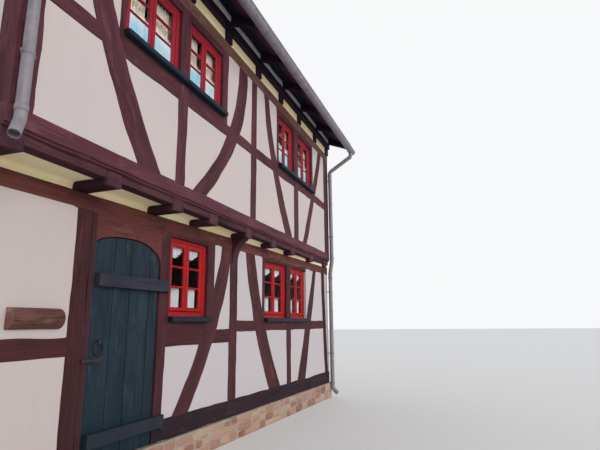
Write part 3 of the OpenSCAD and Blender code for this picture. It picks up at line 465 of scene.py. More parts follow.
def timber(soup, matrix, stations, front, seed, rough, tone, bite):
    """A hewn timber in a wall. Each station is its left and right edge: (xl, zl, xr, zr).
    bite is the most that an edge wanders inwards."""
    points, grain = [], []
    run, last = 0.0, stations[0]
    for station in stations:
        xl, zl, xr, zr = station
        run += math.hypot((xl + xr - last[0] - last[2]) / 2, (zl + zr - last[1] - last[3]) / 2)
        last = station
        width = math.hypot(xr - xl, zr - zl)
        left, right = (rough * (wave(run, n) + 0.5 * wave(run, n + 3, 0.13)
                                + 0.5 * math.tanh(5 * wave(run, n + 41, 0.5)))
                       for n in (seed, seed + 11))
        left, right = min(left, bite), max(right, -bite)
        bevel = 0.007 * (1.1 + 0.6 * wave(run, seed + 23, 0.2))
        across = [(left, front + bevel), (left + bevel, front)]
        across += [(share * width, front + 0.0016 * wave(run, seed + 31 * share, 0.22))
                   for share in (0.3, 0.5, 0.7)]
        across += [(width + right - bevel, front), (width + right, front + bevel),
                   (width, WALL), (0, WALL)]
        for s, y in across:
            share = s / width
            points.append((xl + (xr - xl) * share, y, zl + (zr - zl) * share))
            grain.append((run + seed * 3.7, s + seed * 1.3, y + seed * 2.1))
    soup.add(matrix, points, ring_faces(9, len(stations)), grain, tone)


def span(a, b, step=0.07):
    return np.linspace(a, b, max(2, int(abs(b - a) / step) + 1))


def post(x0, x1, z0, z1):
    return [(x0, z, x1, z) for z in span(z0, z1)]


def rail(x0, x1, z0, z1):
    return [(x, z1, x, z0) for x in span(x0, x1)]


def bowed(a, b, c, t):
    return (1 - t) ** 2 * a + 2 * t * (1 - t) * (2 * b - (a + c) / 2) + t * t * c


def brace(foot, middle, head, foot_w, head_w, z0, z1):
    stations = []
    for z in span(z0, z1):
        t = (z - z0) / (z1 - z0)
        half = (foot_w + (head_w - foot_w) * t) / 2
        x = bowed(foot, middle, head, t)
        stations.append((x - half, z, x + half, z))
    return stations


# Stations of each kind of timber, how far its face lies back, how rough its edges are
# and how far they wander inwards at most
KINDS = {"post": (post, 0.0, 0.012, 0.004), "rail": (rail, 0.0022, 0.01, 0.03),
         "brace": (brace, 0.0011, 0.018, 0.03)}


def distance_to(timbers, x, z):
    """Distance from a point of the wall to the nearest timber's edge, 0 inside one."""
    best = 9.0
    for kind, *v in timbers:
        if kind == "brace":
            t = min(max((z - v[5]) / (v[6] - v[5]), 0), 1)
            half = (v[3] + (v[4] - v[3]) * t) / 2
            t0, t1 = max(t - 0.02, 0), min(t + 0.02, 1)
            lean = (bowed(*v[:3], t1) - bowed(*v[:3], t0)) / ((t1 - t0) * (v[6] - v[5]))
            d = (abs(x - bowed(*v[:3], t)) - half) / math.hypot(1, lean)
        else:
            d = math.hypot(max(v[0] - x, x - v[1], 0), max(v[2] - z, z - v[3], 0))
        best = min(best, d)
    return max(best, 0.0)


def frame_wall(name, matrix, timbers, paint, replaces, seed):
    """Timbers of one wall as one mesh. Each runs a little way under its neighbours."""
    soup = Soup()
    end, lap, thin = FRONT_LEN if matrix is LOWER else LENGTH, 0.012, 0.11
    for i, (kind, *v) in enumerate(timbers):
        if kind == "rail":
            v[:2] = max(v[0] - lap, 0.0), min(v[1] + lap, end)
            if v[3] - v[2] < thin:
                v[2:] = v[2] - 0.02, v[3] + 0.02
        else:
            v[-2:] = v[-2] - 0.008, v[-1] + 0.01
        stations, front, rough, bite = KINDS[kind]
        tone = 0.5 + 0.5 * wave(i * 3.1, seed, 0.9)
        timber(soup, matrix, stations(*v), front, seed + i * 1.37, rough, tone, bite)
    soup.piece(name, paint, "timber", replaces)


def slab(soup, matrix, xs, zs, holes, front, back):
    """A wall sheet on a grid with holes; front is a function of x and z."""
    inside = {}
    for i in range(len(xs) - 1):
        for k in range(len(zs) - 1):
            x, z = (xs[i] + xs[i + 1]) / 2, (zs[k] + zs[k + 1]) / 2
            inside[i, k] = not any(a < x < b and c < z < d for a, b, c, d in holes)
    number = {}
    points, faces = [], []

    def at(i, k, side):
        if (i, k, side) not in number:
            number[i, k, side] = len(points)
            points.append((xs[i], back if side else front(xs[i], zs[k]), zs[k]))
        return number[i, k, side]

    sides = ((-1, 0, (0, 0), (0, 1)), (1, 0, (1, 1), (1, 0)),
             (0, -1, (1, 0), (0, 0)), (0, 1, (0, 1), (1, 1)))
    for (i, k), solid in inside.items():
        if not solid:
            continue
        faces.append([at(i, k, 0), at(i + 1, k, 0), at(i + 1, k + 1, 0), at(i, k + 1, 0)])
        faces.append([at(i, k, 1), at(i, k + 1, 1), at(i + 1, k + 1, 1), at(i + 1, k, 1)])
        for di, dk, a, b in sides:
            if not inside.get((i + di, k + dk)):
                p, q = (i + a[0], k + a[1]), (i + b[0], k + b[1])
                faces.append([at(*p, 0), at(*p, 1), at(*q, 1), at(*q, 0)])
    soup.add(matrix, points, faces)


def grid_lines(a, b, step, extra):
    """Even lines from a to b, moved where they come too near the extra ones."""
    lines = sorted(list(span(a, b, step)) + [e for e in extra if a < e < b])
    kept = [lines[0]]
    for v in lines[1:]:
        near = v - kept[-1] <= step * 0.2
        if not near or v in extra:
            if near and kept[-1] not in extra and len(kept) > 1:
                kept.pop()
            kept.append(v)
    return kept


def plaster_wall(name, matrix, area, timbers, windows, replaces, seed, step=0.035):
    """The panels of one wall: plaster that bulges a little between the timbers."""
    x0, x1, z0, z1 = area
    inset, margin = 0.012, 0.07
    edge, bulge, rough = 0.0085, 0.0065, 0.0026
    holes = [(x - inset, x + w + inset, low - inset, high + inset)
             for x, w, low, high in windows]
    xs = grid_lines(x0, x1, step, [e for h in holes for e in h[:2]])
    zs = grid_lines(z0, z1, step, [e for h in holes for e in h[2:]])

    def front(x, z):
        rise = min(distance_to(timbers, x, z) / margin, 1)
        rise = rise * rise * (3 - 2 * rise)
        uneven = hum(x * 2.1, z * 2.1, seed) + 0.4 * hum(x * 7, z * 7, seed + 5)
        return edge - bulge * rise - rough * uneven * rise

    soup = Soup()
    slab(soup, matrix, xs, zs, holes, front, WALL - 0.006)
    soup.piece(name, "plaster", "plaster", replaces, smooth=50)


# ---------------------------------------------------------------- the four framed walls

# Windows: left edge, width, lower and upper edge
WIN_HEAD, UPPER_HEAD = 2.715, 5.465


def flipped_windows(windows):
    return [(LENGTH - x - w, w, low, high) for x, w, low, high in windows]


GROUND_WINDOWS = [(x, w, 1.725, WIN_HEAD)
                  for x, w in ((2.6, 0.81), (5.14, 0.91), (6.235, 0.775))]
UPPER_WINDOWS = [(1.14, 0.96, 4.56, UPPER_HEAD), (2.285, 0.845, 4.56, UPPER_HEAD),
                 (5.21, 0.79, 4.485, UPPER_HEAD), (6.24, 0.86, 4.485, UPPER_HEAD)]
REAR_GROUND = [(x, 0.85, 1.725, WIN_HEAD) for x in (1.5, 3.75, 6.0)]
REAR_UPPER = [(x, 0.85, 4.485, UPPER_HEAD) for x in (1.1, 2.9, 4.7, 6.5)]
SEEN_REAR_GROUND, SEEN_REAR_UPPER = flipped_windows(REAR_GROUND), flipped_windows(REAR_UPPER)

# Timbers: posts and rails are x0, x1, z0, z1; braces are the middles of foot, waist and
# head, the widths of foot and head, z0, z1
LEFT_TIMBERS = [
    ("rail", 0.0, 1.18, PLINTH, SILL_TOP),
    ("post", 0.0, 0.225, SILL_TOP, PLATE),
    ("rail", 0.225, 1.18, 1.345, 1.52),
    ("post", 1.18, 1.36, PLINTH, PLATE),
]
SILL_BEAM = [("rail", 2.42, 8.3716, PLINTH, SILL_TOP)]
RIGHT_TIMBERS = [
    ("post", 2.42, 2.565, SILL_TOP, PLATE),
    ("rail", 2.565, 4.01, 1.365, 1.56),
    ("post", 3.41, 3.585, 1.56, PLATE),
    ("post", 2.565, 2.6, 1.56, PLATE),
    ("rail", 2.6, 3.41, WIN_HEAD, PLATE),
    ("rail", 2.6, 3.41, 1.56, 1.66),
    ("post", 4.01, 4.225, SILL_TOP, PLATE),
    ("rail", 4.225, 8.08, 1.51, 1.685),
    ("post", 5.05, 5.14, 1.685, PLATE),
    ("rail", 5.14, 7.01, WIN_HEAD, PLATE),
    ("post", 6.05, 6.235, SILL_TOP, PLATE),
    ("brace", 2.905, 3.56, 3.905, 0.34, 0.28, SILL_TOP, PLATE),
    ("brace", 5.55, 4.96, 4.63, 0.43, 0.29, SILL_TOP, PLATE),
    ("brace", 6.75, 7.15, 7.53, 0.39, 0.18, SILL_TOP, PLATE),
    ("brace", 8.2, 8.11, 8.04, 0.2, 0.18, SILL_TOP, PLATE),
]
RAIL, RAIL_TOP = 4.26, 4.435
UPPER_TIMBERS = [
    ("post", 0.0, 0.225, UPPER, TOP_PLATE),
    ("rail", 0.225, 2.1, RAIL, RAIL_TOP), ("rail", 2.285, 4.08, RAIL, RAIL_TOP),
    ("rail", 4.26, 6.00, RAIL, RAIL_TOP), ("rail", 6.24, 8.025, RAIL, RAIL_TOP),
    ("rail", 1.05, 2.1, RAIL_TOP, 4.495), ("rail", 2.285, 3.22, RAIL_TOP, 4.495),
    ("post", 1.05, 1.14, RAIL_TOP, TOP_PLATE),
    ("post", 2.1, 2.285, UPPER, TOP_PLATE),
    ("post", 3.13, 3.28, RAIL_TOP, TOP_PLATE),
    ("rail", 1.14, 2.1, UPPER_HEAD, TOP_PLATE), ("rail", 2.285, 3.13, UPPER_HEAD, TOP_PLATE),
    ("post", 4.075, 4.265, UPPER, TOP_PLATE),
    ("post", 5.12, 5.21, RAIL_TOP, TOP_PLATE),
    ("post", 6.00, 6.24, UPPER, TOP_PLATE),
    ("post", 7.1, 7.19, RAIL_TOP, TOP_PLATE),
    ("rail", 5.21, 6.00, UPPER_HEAD, TOP_PLATE), ("rail", 6.24, 7.1, UPPER_HEAD, TOP_PLATE),
    ("post", 8.025, LENGTH, UPPER, TOP_PLATE),
    ("brace", 1.645, 0.945, 0.62, 0.385, 0.27, UPPER, TOP_PLATE),
    ("brace", 2.63, 3.5, 3.77, 0.3, 0.27, UPPER, TOP_PLATE),
    ("brace", 5.7, 5.02, 4.64, 0.34, 0.2, UPPER, TOP_PLATE),
    ("brace", 6.61, 7.215, 7.72, 0.25, 0.23, UPPER, TOP_PLATE),
]


def rear_timbers(z0, sill, rail_z, top, windows, win_top):
    """Timbers of a rear wall as seen from the rear; the windows are in the house's x."""
    foot, corner, jamb = z0 + sill, 0.225, 0.16
    timbers = [("rail", 0, LENGTH, z0, foot), ("post", 0, corner, foot, top),
               ("post", LENGTH - corner, LENGTH, foot, top)]
    stops = [corner]
    for x, w, _, _ in windows:
        timbers += [("post", x - jamb, x, foot, top), ("post", x + w, x + w + jamb, foot, top),
                    ("rail", x, x + w, win_top, top)]
        stops += [x - jamb, x, x + w, x + w + jamb]
    stops.append(LENGTH - corner)
    timbers += [("rail", a, b, rail_z, rail_z + 0.175) for a, b in zip(stops[::2], stops[1::2])]
    timbers += [("rail", x, x + w, rail_z, low) for x, w, low, _ in windows]
    timbers += [("brace", *xs, 0.26, 0.22, foot, top)
                for xs in ((0.45, 0.85, 1.15), (7.91, 7.51, 7.21))]
    return [(kind, *(LENGTH - x for x in v[:3]), *v[3:]) if kind == "brace"
            else (kind, LENGTH - v[1], LENGTH - v[0], *v[2:]) for kind, *v in timbers]


def make_walls():
    plate = PLATE, JOIST
    low = rear_timbers(PLINTH, 0.24, 1.51, PLATE, REAR_GROUND, WIN_HEAD)
    high = rear_timbers(FLOOR, 0.185, RAIL, TOP_PLATE, REAR_UPPER, UPPER_HEAD)
    for wall in (
            ("front_left_timbers", LOWER, LEFT_TIMBERS, "timber", "front_left_frame", 1.0),
            ("front_right_timbers", LOWER, RIGHT_TIMBERS, "timber", "front_right_frame", 40.0),
            ("front_sill_beam", LOWER, SILL_BEAM, "sill_beam", "front_right_frame", 70.0),
            ("front_plate", LOWER, [("rail", 0.0, FRONT_LEN, *plate)], "plate",
             "front_ground_plate", 75.0),
            ("upper_timbers", HOUSE, UPPER_TIMBERS, "upper_timber", "upper_front_frame", 80.0),
            ("rear_ground_timbers", REAR, low + [("rail", 0, LENGTH, *plate)], "timber",
             "rear_ground_frame", 140.0),
            ("rear_upper_timbers", REAR, high, "upper_timber", "rear_upper_frame", 180.0)):
        frame_wall(*wall)
    lap = 0.01
    x0, x1, foot, head = lap, LENGTH - lap, PLINTH + lap, PLATE + lap
    for wall in (
            ("front_left_plaster", LOWER, (0.012, 1.19, foot, head), LEFT_TIMBERS, [],
             "front_left_infill", 1),
            ("front_right_plaster", LOWER, (2.43, 8.35, foot, head), RIGHT_TIMBERS + SILL_BEAM,
             GROUND_WINDOWS, "front_right_infill", 2),
            ("upper_plaster", HOUSE, (x0, x1, UPPER - lap, TOP_PLATE + lap), UPPER_TIMBERS,
             UPPER_WINDOWS, "upper_front_infill", 3),
            ("rear_ground_plaster", REAR, (x0, x1, foot, head), low, SEEN_REAR_GROUND,
             "rear_ground_infill", 4, 0.06),
            ("rear_upper_plaster", REAR, (x0, x1, FLOOR + lap, TOP_PLATE + lap), high,
             SEEN_REAR_UPPER, "rear_upper_infill", 5, 0.06)):
        plaster_wall(*wall)


def extrude(soup, matrix, section, x0, x1, step=1.0, jitter=0.0, seed=0.0, end=0.0, tone=0.5,
            clamp=None):
    """A length of moulded or hewn timber along X; section is a closed list of (y, z).
    end is the softened edge at its ends, clamp a function that limits y."""
    xs = list(span(x0 + end, x1 - end, step))
    if end:
        xs = [x0] + xs + [x1]
    cy = sum(p[0] for p in section) / len(section)
    cz = sum(p[1] for p in section) / len(section)
    points, grain = [], []
    for k, x in enumerate(xs):
        for y, z in section:
            dy, dz = (jitter * hum(x * 2.3, y * 9 + seed + n, z * 9) for n in (0, 40))
            if end and k in (0, len(xs) - 1):
                reach = max(math.hypot(y - cy, z - cz), 1e-6)
                dy -= (y - cy) / reach * end
                dz -= (z - cz) / reach * end
            points.append((x, clamp(x, y + dy) if clamp else y + dy, z + dz))
            grain.append((x + seed * 3.7, z + seed * 1.3, y + seed * 2.1))
    if callable(tone):
        tone = [tone(x - x0, z) for x in xs for y, z in section]
    soup.add(matrix, points, ring_faces(len(section), len(xs)), grain, tone)


def rounded(y0, y1, z0, z1, r):
    """A rectangle in Y and Z with rounded corners."""
    points = []
    for cy, cz, start in ((y0 + r, z0 + r, 180), (y1 - r, z0 + r, 270),
                          (y1 - r, z1 - r, 0), (y0 + r, z1 - r, 90)):
        for turn in (0, 45, 90):
            a = math.radians(start + turn)
            points.append((cy + r * math.cos(a), cz + r * math.sin(a)))
    return points


def ring(soup, matrix, x0, x1, z0, z1, profile):
    """A mitred frame; the profile's points are (distance in from the outer edge, y)."""
    n = len(profile)
    points = []
    for cx, cz, sx, sz in ((x0, z0, 1, 1), (x1, z0, -1, 1), (x1, z1, -1, -1), (x0, z1, 1, -1)):
        points += [(cx + sx * d, y, cz + sz * d) for d, y in profile]
    faces = [(k * n + i, k * n + (i + 1) % n, (k + 1) % 4 * n + (i + 1) % n, (k + 1) % 4 * n + i)
             for k in range(4) for i in range(n)]
    soup.add(matrix, points, faces)


def circle(radius, sides):
    turns = [2 * math.pi * i / sides for i in range(sides)]
    return [(radius * math.cos(a), radius * math.sin(a)) for a in turns]


def disc(soup, matrix, centre, radius, height, sides, axis="y", dome=0.0):
    """A short round boss or rod with softened ends."""
    rings = [(0, 0.9), (min(height * 0.15, 0.002), 1.0),
             (height - min(height * 0.25, 0.003), 1.0), (height, 0.8 if dome else 0.92)]
    if dome:
        rings.append((height + dome, 0.3))
    x, y, z = centre
    points = []
    for h, scale in rings:
        for u, v in circle(radius * scale, sides):
            points.append({"y": (x + u, y - h, z + v), "x": (x + h, y + u, z + v),
                           "z": (x + u, y + v, z + h)}[axis])
    soup.add(matrix, points, ring_faces(sides, len(rings)))


# ---------------------------------------------------------------- windows

CASING, CASING_DEPTH, CASING_SET = 0.058, 0.08, 0.045
SASH, SASH_DEPTH, SASH_SET = 0.055, 0.04, 0.057
SILL_BOARD, SILL_OUT = 0.065, 0.08


def sash_panes(x, w):
    half = (w - 2 * CASING) / 2
    return [(x + CASING + i * half, x + CASING + (i + 1) * half) for i in (0, 1)]


def window(soup, matrix, x, w, z0, z1):
    """Casing, two sashes of three panes, meeting strip, drip rails and hinges."""
    c, s, play = CASING_SET, SASH_SET, 0.0015
    back, sash_back = c + CASING_DEPTH, s + SASH_DEPTH
    ring(soup, matrix, x, x + w, z0, z1, [
        (-0.006, back), (-0.006, c), (CASING - 0.022, c), (CASING - 0.018, c + 0.004),
        (CASING - 0.012, c + 0.001), (CASING - 0.004, c + 0.004), (CASING, c + 0.01),
        (CASING, back)])
    for a, b in sash_panes(x, w):
        a, b, low, high = a + play, b - play, z0 + CASING + play, z1 - CASING - play
        ring(soup, matrix, a, b, low, high, [
            (0, sash_back), (0, s + 0.004), (0.004, s), (SASH - 0.02, s),
            (SASH - 0.016, s + 0.004), (SASH - 0.01, s + 0.004), (SASH, s + 0.015),
            (SASH, sash_back)])
        pane = high - low - 2 * SASH
        for k in (1, 2):
            z = low + SASH + pane * k / 3
            bar = [(s + 0.003, z + 0.005), (s + 0.014, z + 0.014), (s + 0.038, z + 0.014),
                   (s + 0.038, z - 0.014), (s + 0.014, z - 0.014), (s + 0.003, z - 0.005)]
            extrude(soup, matrix, bar, a + SASH - 0.004, b - SASH + 0.004)
        drip = [(s + 0.003, low + 0.044), (s - 0.018, low + 0.024), (s - 0.022, low + 0.016),
                (s - 0.018, low + 0.01), (s + 0.003, low + 0.008)]
        extrude(soup, matrix, drip, a + 0.004, b - 0.004)
    middle = x + w / 2
    strip = [(middle + dx, s + dy) for dx, dy in (
        (-0.02, -0.002), (-0.014, -0.011), (0.014, -0.011), (0.02, -0.002), (0.02, 0.004),
        (-0.02, 0.004))]
    points = [(px, py, z) for z in (z0 + CASING + 0.05, z1 - CASING - 0.004)
              for px, py in strip]
    soup.add(matrix, points, ring_faces(6, 2))
    for edge in (x + CASING, x + w - CASING):
        for z in (z0 + CASING + 0.1, z1 - CASING - 0.17):
            disc(soup, matrix, (edge, s - 0.004, z), 0.0065, 0.066, 8, "z")
            disc(soup, matrix, (edge, s - 0.004, z + 0.0655), 0.0045, 0.01, 8, "z", 0.004)


def sill_board(soup, matrix, x0, x1, top, seed):
    low, out = top - SILL_BOARD, -SILL_OUT
    section = [(0.0, low), (0.0, top), (out + 0.012, top - 0.003), (out, top - 0.012),
               (out, low + 0.01), (out + 0.008, low), (out + 0.02, low),
               (out + 0.024, low + 0.008), (out + 0.03, low + 0.008), (out + 0.034, low)]
    extrude(soup, matrix, section, x0, x1, 0.11, 0.004, seed, 0.006,
            clamp=lambda x, y: min(y, 0.0))


def curtain(name, matrix, x0, x1, top, drop, y, folds, depth, paint, seed, scallop=None):
    """A gathered curtain: folds run down it, and its lower edge may be cut in points.
    Returns the piece, its flat width, its drop and its area."""
    across, down = folds * 8, 9
    row = across + 1
    shift = random.Random(seed).uniform(0, 6.28)
    points = []
    for j in range(down + 1):
        t = j / down
        for i in range(row):
            u = i / across
            length = drop * (scallop(u) if scallop else 1.0)
            swing = depth * math.sin(2 * math.pi * folds * u + shift)
            points.append((x0 + (x1 - x0) * u, y + swing, top - length * t))
    faces = [(j * row + i, j * row + i + 1, (j + 1) * row + i + 1, (j + 1) * row + i)
             for j in range(down) for i in range(across)]
    mesh = meshed(name, [matrix @ Vector(p) for p in points], faces, paint)
    mesh.polygons.foreach_set("use_smooth", [True] * len(mesh.polygons))
    piece = linked(name, mesh)
    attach(piece, "house")
    edge = [Vector(p) for p in points[:row]]
    width = sum((b - a).length for a, b in zip(edge, edge[1:]))
    return piece, width, drop, sum(p.area for p in mesh.polygons)


def v_shape(u):
    return 0.4 + 0.6 * (1 - abs(2 * u - 1)) ** 0.9 + 0.05 * math.sin(u * 31)


def make_windows():
    ground = ("front", LOWER, GROUND_WINDOWS), ("rear", REAR, SEEN_REAR_GROUND)
    upper = ("front", HOUSE, UPPER_WINDOWS), ("rear", REAR, SEEN_REAR_UPPER)
    for node, walls, paint in (("ground_windows", ground, "red_paint"),
                               ("upper_windows", upper, "upper_red_paint")):
        joinery = Soup()
        for _, matrix, windows in walls:
            for each in windows:
                window(joinery, matrix, *each)
        joinery.piece(node + "_joinery", paint, "red_paint", node, smooth=30)

    g, u, over = GROUND_WINDOWS, UPPER_WINDOWS, 0.03
    meet = (u[0][0] + u[0][1] + u[1][0]) / 2
    sills = [(LOWER, g[0][0] - 0.01, g[0][0] + g[0][1] + over, g[0][2]),
             (LOWER, g[1][0] - over, g[2][0] + g[2][1] + over, g[1][2]),
             (HOUSE, u[0][0] - over, meet - 0.005, u[0][2]),
             (HOUSE, meet + 0.005, u[1][0] + u[1][1] + over, u[1][2]),
             (HOUSE, u[2][0] - over, u[3][0] + u[3][1] + over, u[2][2])]
    sills += [(REAR, x - over, x + w + over, z0)
              for x, w, z0, _ in SEEN_REAR_GROUND + SEEN_REAR_UPPER]
    boards = Soup()
    for seed, sill in enumerate(sills, 1):
        sill_board(boards, *sill, seed)
    boards.piece("sill_boards", "sill_paint", "sill_paint", "window_sills", smooth=30)

    curtains, rods = [], Soup()
    y = SASH_SET + SASH_DEPTH + 0.03
    frame_edge = CASING + SASH
    for side, matrix, windows in ground:
        for n, (x, w, z0, z1) in enumerate(windows):
            low, high = z0 + frame_edge, z1 - frame_edge
            third = (high - low) / 3
            for i, (a, b) in enumerate(sash_panes(x, w)):
                a, b = a + 0.036, b - 0.036
                for kind, top, drop, folds, shape, gap in (
                        ("valance", high + 0.012, third * 0.58, 6, v_shape, 0.0),
                        ("cafe", low + third + 0.004, third + 0.03, 7, None, 0.16)):
                    disc(rods, matrix, (a - 0.03, y, top + 0.002), 0.0045, b - a + 0.06, 8, "x")
                    curtains.append(curtain(
                        "%s_%s_%d_%d" % (kind, side, n, i), matrix, a, b - gap * (b - a), top,
                        drop, y, folds, 0.019, "curtain", n * 7 + i, shape))
    for side, matrix, windows in upper:
        for n, (x, w, z0, z1) in enumerate(windows):
            low, high = z0 + frame_edge, z1 - frame_edge
            top, middle = high + 0.03, x + w * 0.5
            disc(rods, matrix, (x + 0.02, y + 0.02, top + 0.002), 0.008, w - 0.04, 10, "x")
            for i, (a, b) in enumerate(((x + 0.03, middle - 0.06), (middle + 0.02, x + w - 0.03))):
                curtains.append(curtain(
                    "drape_%s_%d_%d" % (side, n, i), matrix, a, b, top, high - low, y + 0.03,
                    7, 0.022, "cream_curtain", n * 5 + i))
    rods.piece("curtain_rods", "zinc", "zinc", smooth=40)
    for piece, width, drop, area in curtains:
        flat_area = min(area, width * drop)


# ---------------------------------------------------------------- jetty


def make_jetty():
    joists = Soup()
    through = DEPTH - 0.03
    for i, x in enumerate(JOISTS):
        end = through if 0 < i < 8 else 0.51 - (x + JOIST_WIDTH) * TAPER + WALL - 0.04
        place = HOUSE @ turned(x + JOIST_WIDTH, 0.03, math.pi / 2)
        # Painted light and painted shade: each joist's head end gets tone 0.9 and is painted
        # lighter, its sides get tone 0 and are painted darker.
        extrude(joists, place, rounded(0.0, JOIST_WIDTH, JOIST + 0.0005, FLOOR, 0.01), 0.0, end,
                0.05, 0.009, 3.1 + i, 0.007, lambda d, z: 0.9 if d < 0.02 else 0.0)
    joists.piece("joists", "joist", "timber", "floor_joists", smooth=40)

    fillers = Soup()
    low = FLOOR - 0.083
    profile = [(0.04, FLOOR), (0.04, low + 0.06), (0.04, low + 0.03), (0.041, low + 0.008),
               (0.046, low + 0.002), (0.056, low), (0.17, low), (0.17, FLOOR)]
    for i, (x, after) in enumerate(zip(JOISTS, JOISTS[1:] + [LENGTH])):
        # Painted shade: the fillers' undersides get tone 0 and are painted darker than their faces.
        extrude(fillers, HOUSE, profile, x + JOIST_WIDTH, after, 0.1, 0.004, 20 + i,
                tone=lambda d, z: 0.0 if z < low + 0.005 else 0.62,
                clamp=lambda x, y: min(y, JETTY_LEFT - x * TAPER + 0.004))
    fillers.piece("fillers", "joist", "timber", "joist_fillers", smooth=40)

    beam = Soup()
    section = [(y, FLOOR + z) for z, y in (
        (0.185, 0.18), (0.185, 0.014), (0.176, 0.003), (0.16, 0.000), (0.125, 0.001),
        (0.085, -0.002), (0.044, 0.000), (0.034, 0.002), (0.029, 0.01), (0.026, 0.021),
        (0.02, 0.015), (0.012, 0.013), (0.003, 0.016), (0.000, 0.022), (0.000, 0.18))]
    # Painted shade: the lower bead of the moulded beam gets a lower tone and is painted darker.
    extrude(beam, HOUSE, section, 0.0, LENGTH, 0.07, 0.009, 33, 0.004,
            lambda d, z: 0.25 if z < FLOOR + 0.027 else 0.5, lambda x, y: max(y, 0.0))
    beam.piece("moulded_sill_beam", "moulded_beam", "timber", "bressummer", smooth=40)


def make_bracket():
    """The console under the fifth joist, with a hollow front, wide at its head."""
    left, width, height, edge = 4.0375, 0.16, 0.4, 0.006
    front = [(0.012, -0.31), (0.024, -0.25), (0.043, -0.19), (0.068, -0.14), (0.102, -0.09),
             (0.15, -0.042), (0.176, -0.03), (0.188, -0.022), (0.192, 0.0)]
    section = [(0.0, 0.0), (0.0, -height)] + [(-y, z) for y, z in front]
    rows = [(0.0, edge), (edge, 0.0), (0.05, 0.0), (0.11, 0.0), (width - edge, 0.0),
            (width, edge)]
    points, grain = [], []
    for x, cut in rows:
        for y, z in section:
            hew = 0.004 * hum(x * 9, y * 14, z * 9) if y < -0.001 else 0.0
            points.append((left + x, min(y + (cut if y < -0.008 else 0.0) + hew, 0.0), JOIST + z))
            grain.append((z, x + 2.0, y + 5.0))
    bracket = Soup()
    bracket.add(LOWER, points, ring_faces(len(section), len(rows)), grain)
    bracket.piece("carved_bracket", "bracket", "timber", "jetty_bracket", smooth=45)


# ---------------------------------------------------------------- plinth stones


def stone(soup, matrix, corners, out, seed):
    """One rubble stone between four corners (x, z), with a worn and rounded face."""
    rng = random.Random(seed)
    n, depth = 7, 0.03
    tone = rng.uniform(0, 1)
    tilt = rng.uniform(-0.01, 0.01), rng.uniform(-0.006, 0.006)
    (x0, z0), (x1, z1), (x2, z2), (x3, z3) = [
        (x + rng.uniform(-0.01, 0.01), z + rng.uniform(-0.008, 0.008)) for x, z in corners]
    points = []
    for j in range(n):
        for i in range(n):
            a, b = 2 * i / (n - 1) - 1, 2 * j / (n - 1) - 1
            pull = 1 - 0.1 * a * a * b * b
            u, v = (a * pull + 1) / 2, (b * pull + 1) / 2
            x = (x0 * (1 - u) + x1 * u) * (1 - v) + (x3 * (1 - u) + x2 * u) * v
            z = (z0 * (1 - u) + z1 * u) * (1 - v) + (z3 * (1 - u) + z2 * u) * v
            x += 0.01 * hum(u * 2.5, v * 2.5, seed)
            z += 0.01 * hum(u * 2.5, v * 2.5, seed + 9)
            rise = 1 - max(abs(a), abs(b)) ** 5
            y = -(out * rise + 0.006 * hum(x * 16, z * 16, seed) * rise
                  + (tilt[0] * a + tilt[1] * b) * 0.5 * rise)
            points.append((x, y, max(z, 0.004)))
    faces = [(j * n + i, j * n + i + 1, (j + 1) * n + i + 1, (j + 1) * n + i)
             for j in range(n - 1) for i in range(n - 1)]
    rim = [*range(n), *range(2 * n - 1, n * n, n), *range(n * n - 2, n * n - n - 1, -1),
           *range(n * n - 2 * n, 0, -n)]
    start, m = len(points), len(rim)
    points += [(points[k][0], depth, points[k][2]) for k in rim]
    faces += [(rim[(k + 1) % m], rim[k], start + k, start + (k + 1) % m) for k in range(m)]
    faces.append(tuple(range(start, start + m)))
    soup.add(matrix, points, faces, tone=tone)


def stone_run(soup, matrix, length, seed):
    """Rubble in two or three uneven courses."""
    rng = random.Random(seed)
    x = 0.012
    while x < length - 0.02:
        step = rng.uniform(0.3, 0.75)
        if length - x - step < 0.25:
            step = length - x - 0.012
        cut = rng.choice(([0.1, 0.21], [0.12, 0.2], [0.16], [0.15], [0.09, 0.2],
                          [0.13, 0.22]))
        levels = [0.006] + cut + [0.31]
        for low, high in zip(levels, levels[1:]):
            pieces = max(1, round(step / rng.uniform(0.17, 0.38)))
            stops = sorted(x + step * (i + rng.uniform(-0.18, 0.18)) / pieces
                           for i in range(1, pieces))
            stops = [x] + stops + [x + step]
            for a, b in zip(stops, stops[1:]):
                gap = rng.uniform(0.006, 0.014)
                left, right, foot, head = a + gap, b - gap, low + gap * 0.6, high - gap * 0.6
                corners = [(left, foot), (right, foot), (right, head), (left, head)]
                stone(soup, matrix, corners, rng.uniform(0.004, 0.016), rng.random() * 99)
        x += step


def make_plinth():
    stones = Soup()
    left_y, right_y = JETTY_LEFT - 0.04, JETTY_RIGHT - 0.04
    stone_run(stones, HOUSE @ turned(0, left_y, -SKEW), FRONT_LEN, 5)
    stone_run(stones, REAR, LENGTH, 6)
    stone_run(stones, HOUSE @ turned(0, DEPTH, -math.pi / 2), DEPTH - left_y, 7)
    stone_run(stones, HOUSE @ turned(LENGTH, right_y, math.pi / 2), DEPTH - right_y, 8)
    stones.piece("plinth_stones", "sandstone", "sandstone", smooth=60)


# ---------------------------------------------------------------- door

DOOR_L, DOOR_R = 1.432, 2.408
SEAM = 0.0035
PLANKS = [DOOR_L] + [DOOR_L + s * (DOOR_R - DOOR_L) for s in (0.28, 0.53, 0.84)] + [DOOR_R]


def door_top(x):
    """Height of the leaf's arched top at x."""
    gap = 0.012
    crown, top = 1.95, PLATE - 0.185 - gap
    if x < crown:
        return top - 0.12 * (1 - math.sqrt(max(1 - ((crown - x) / (0.53 - gap)) ** 2, 0)))
    return top - 0.25 * (1 - math.sqrt(max(1 - ((x - crown) / (0.47 - gap)) ** 2, 0)))


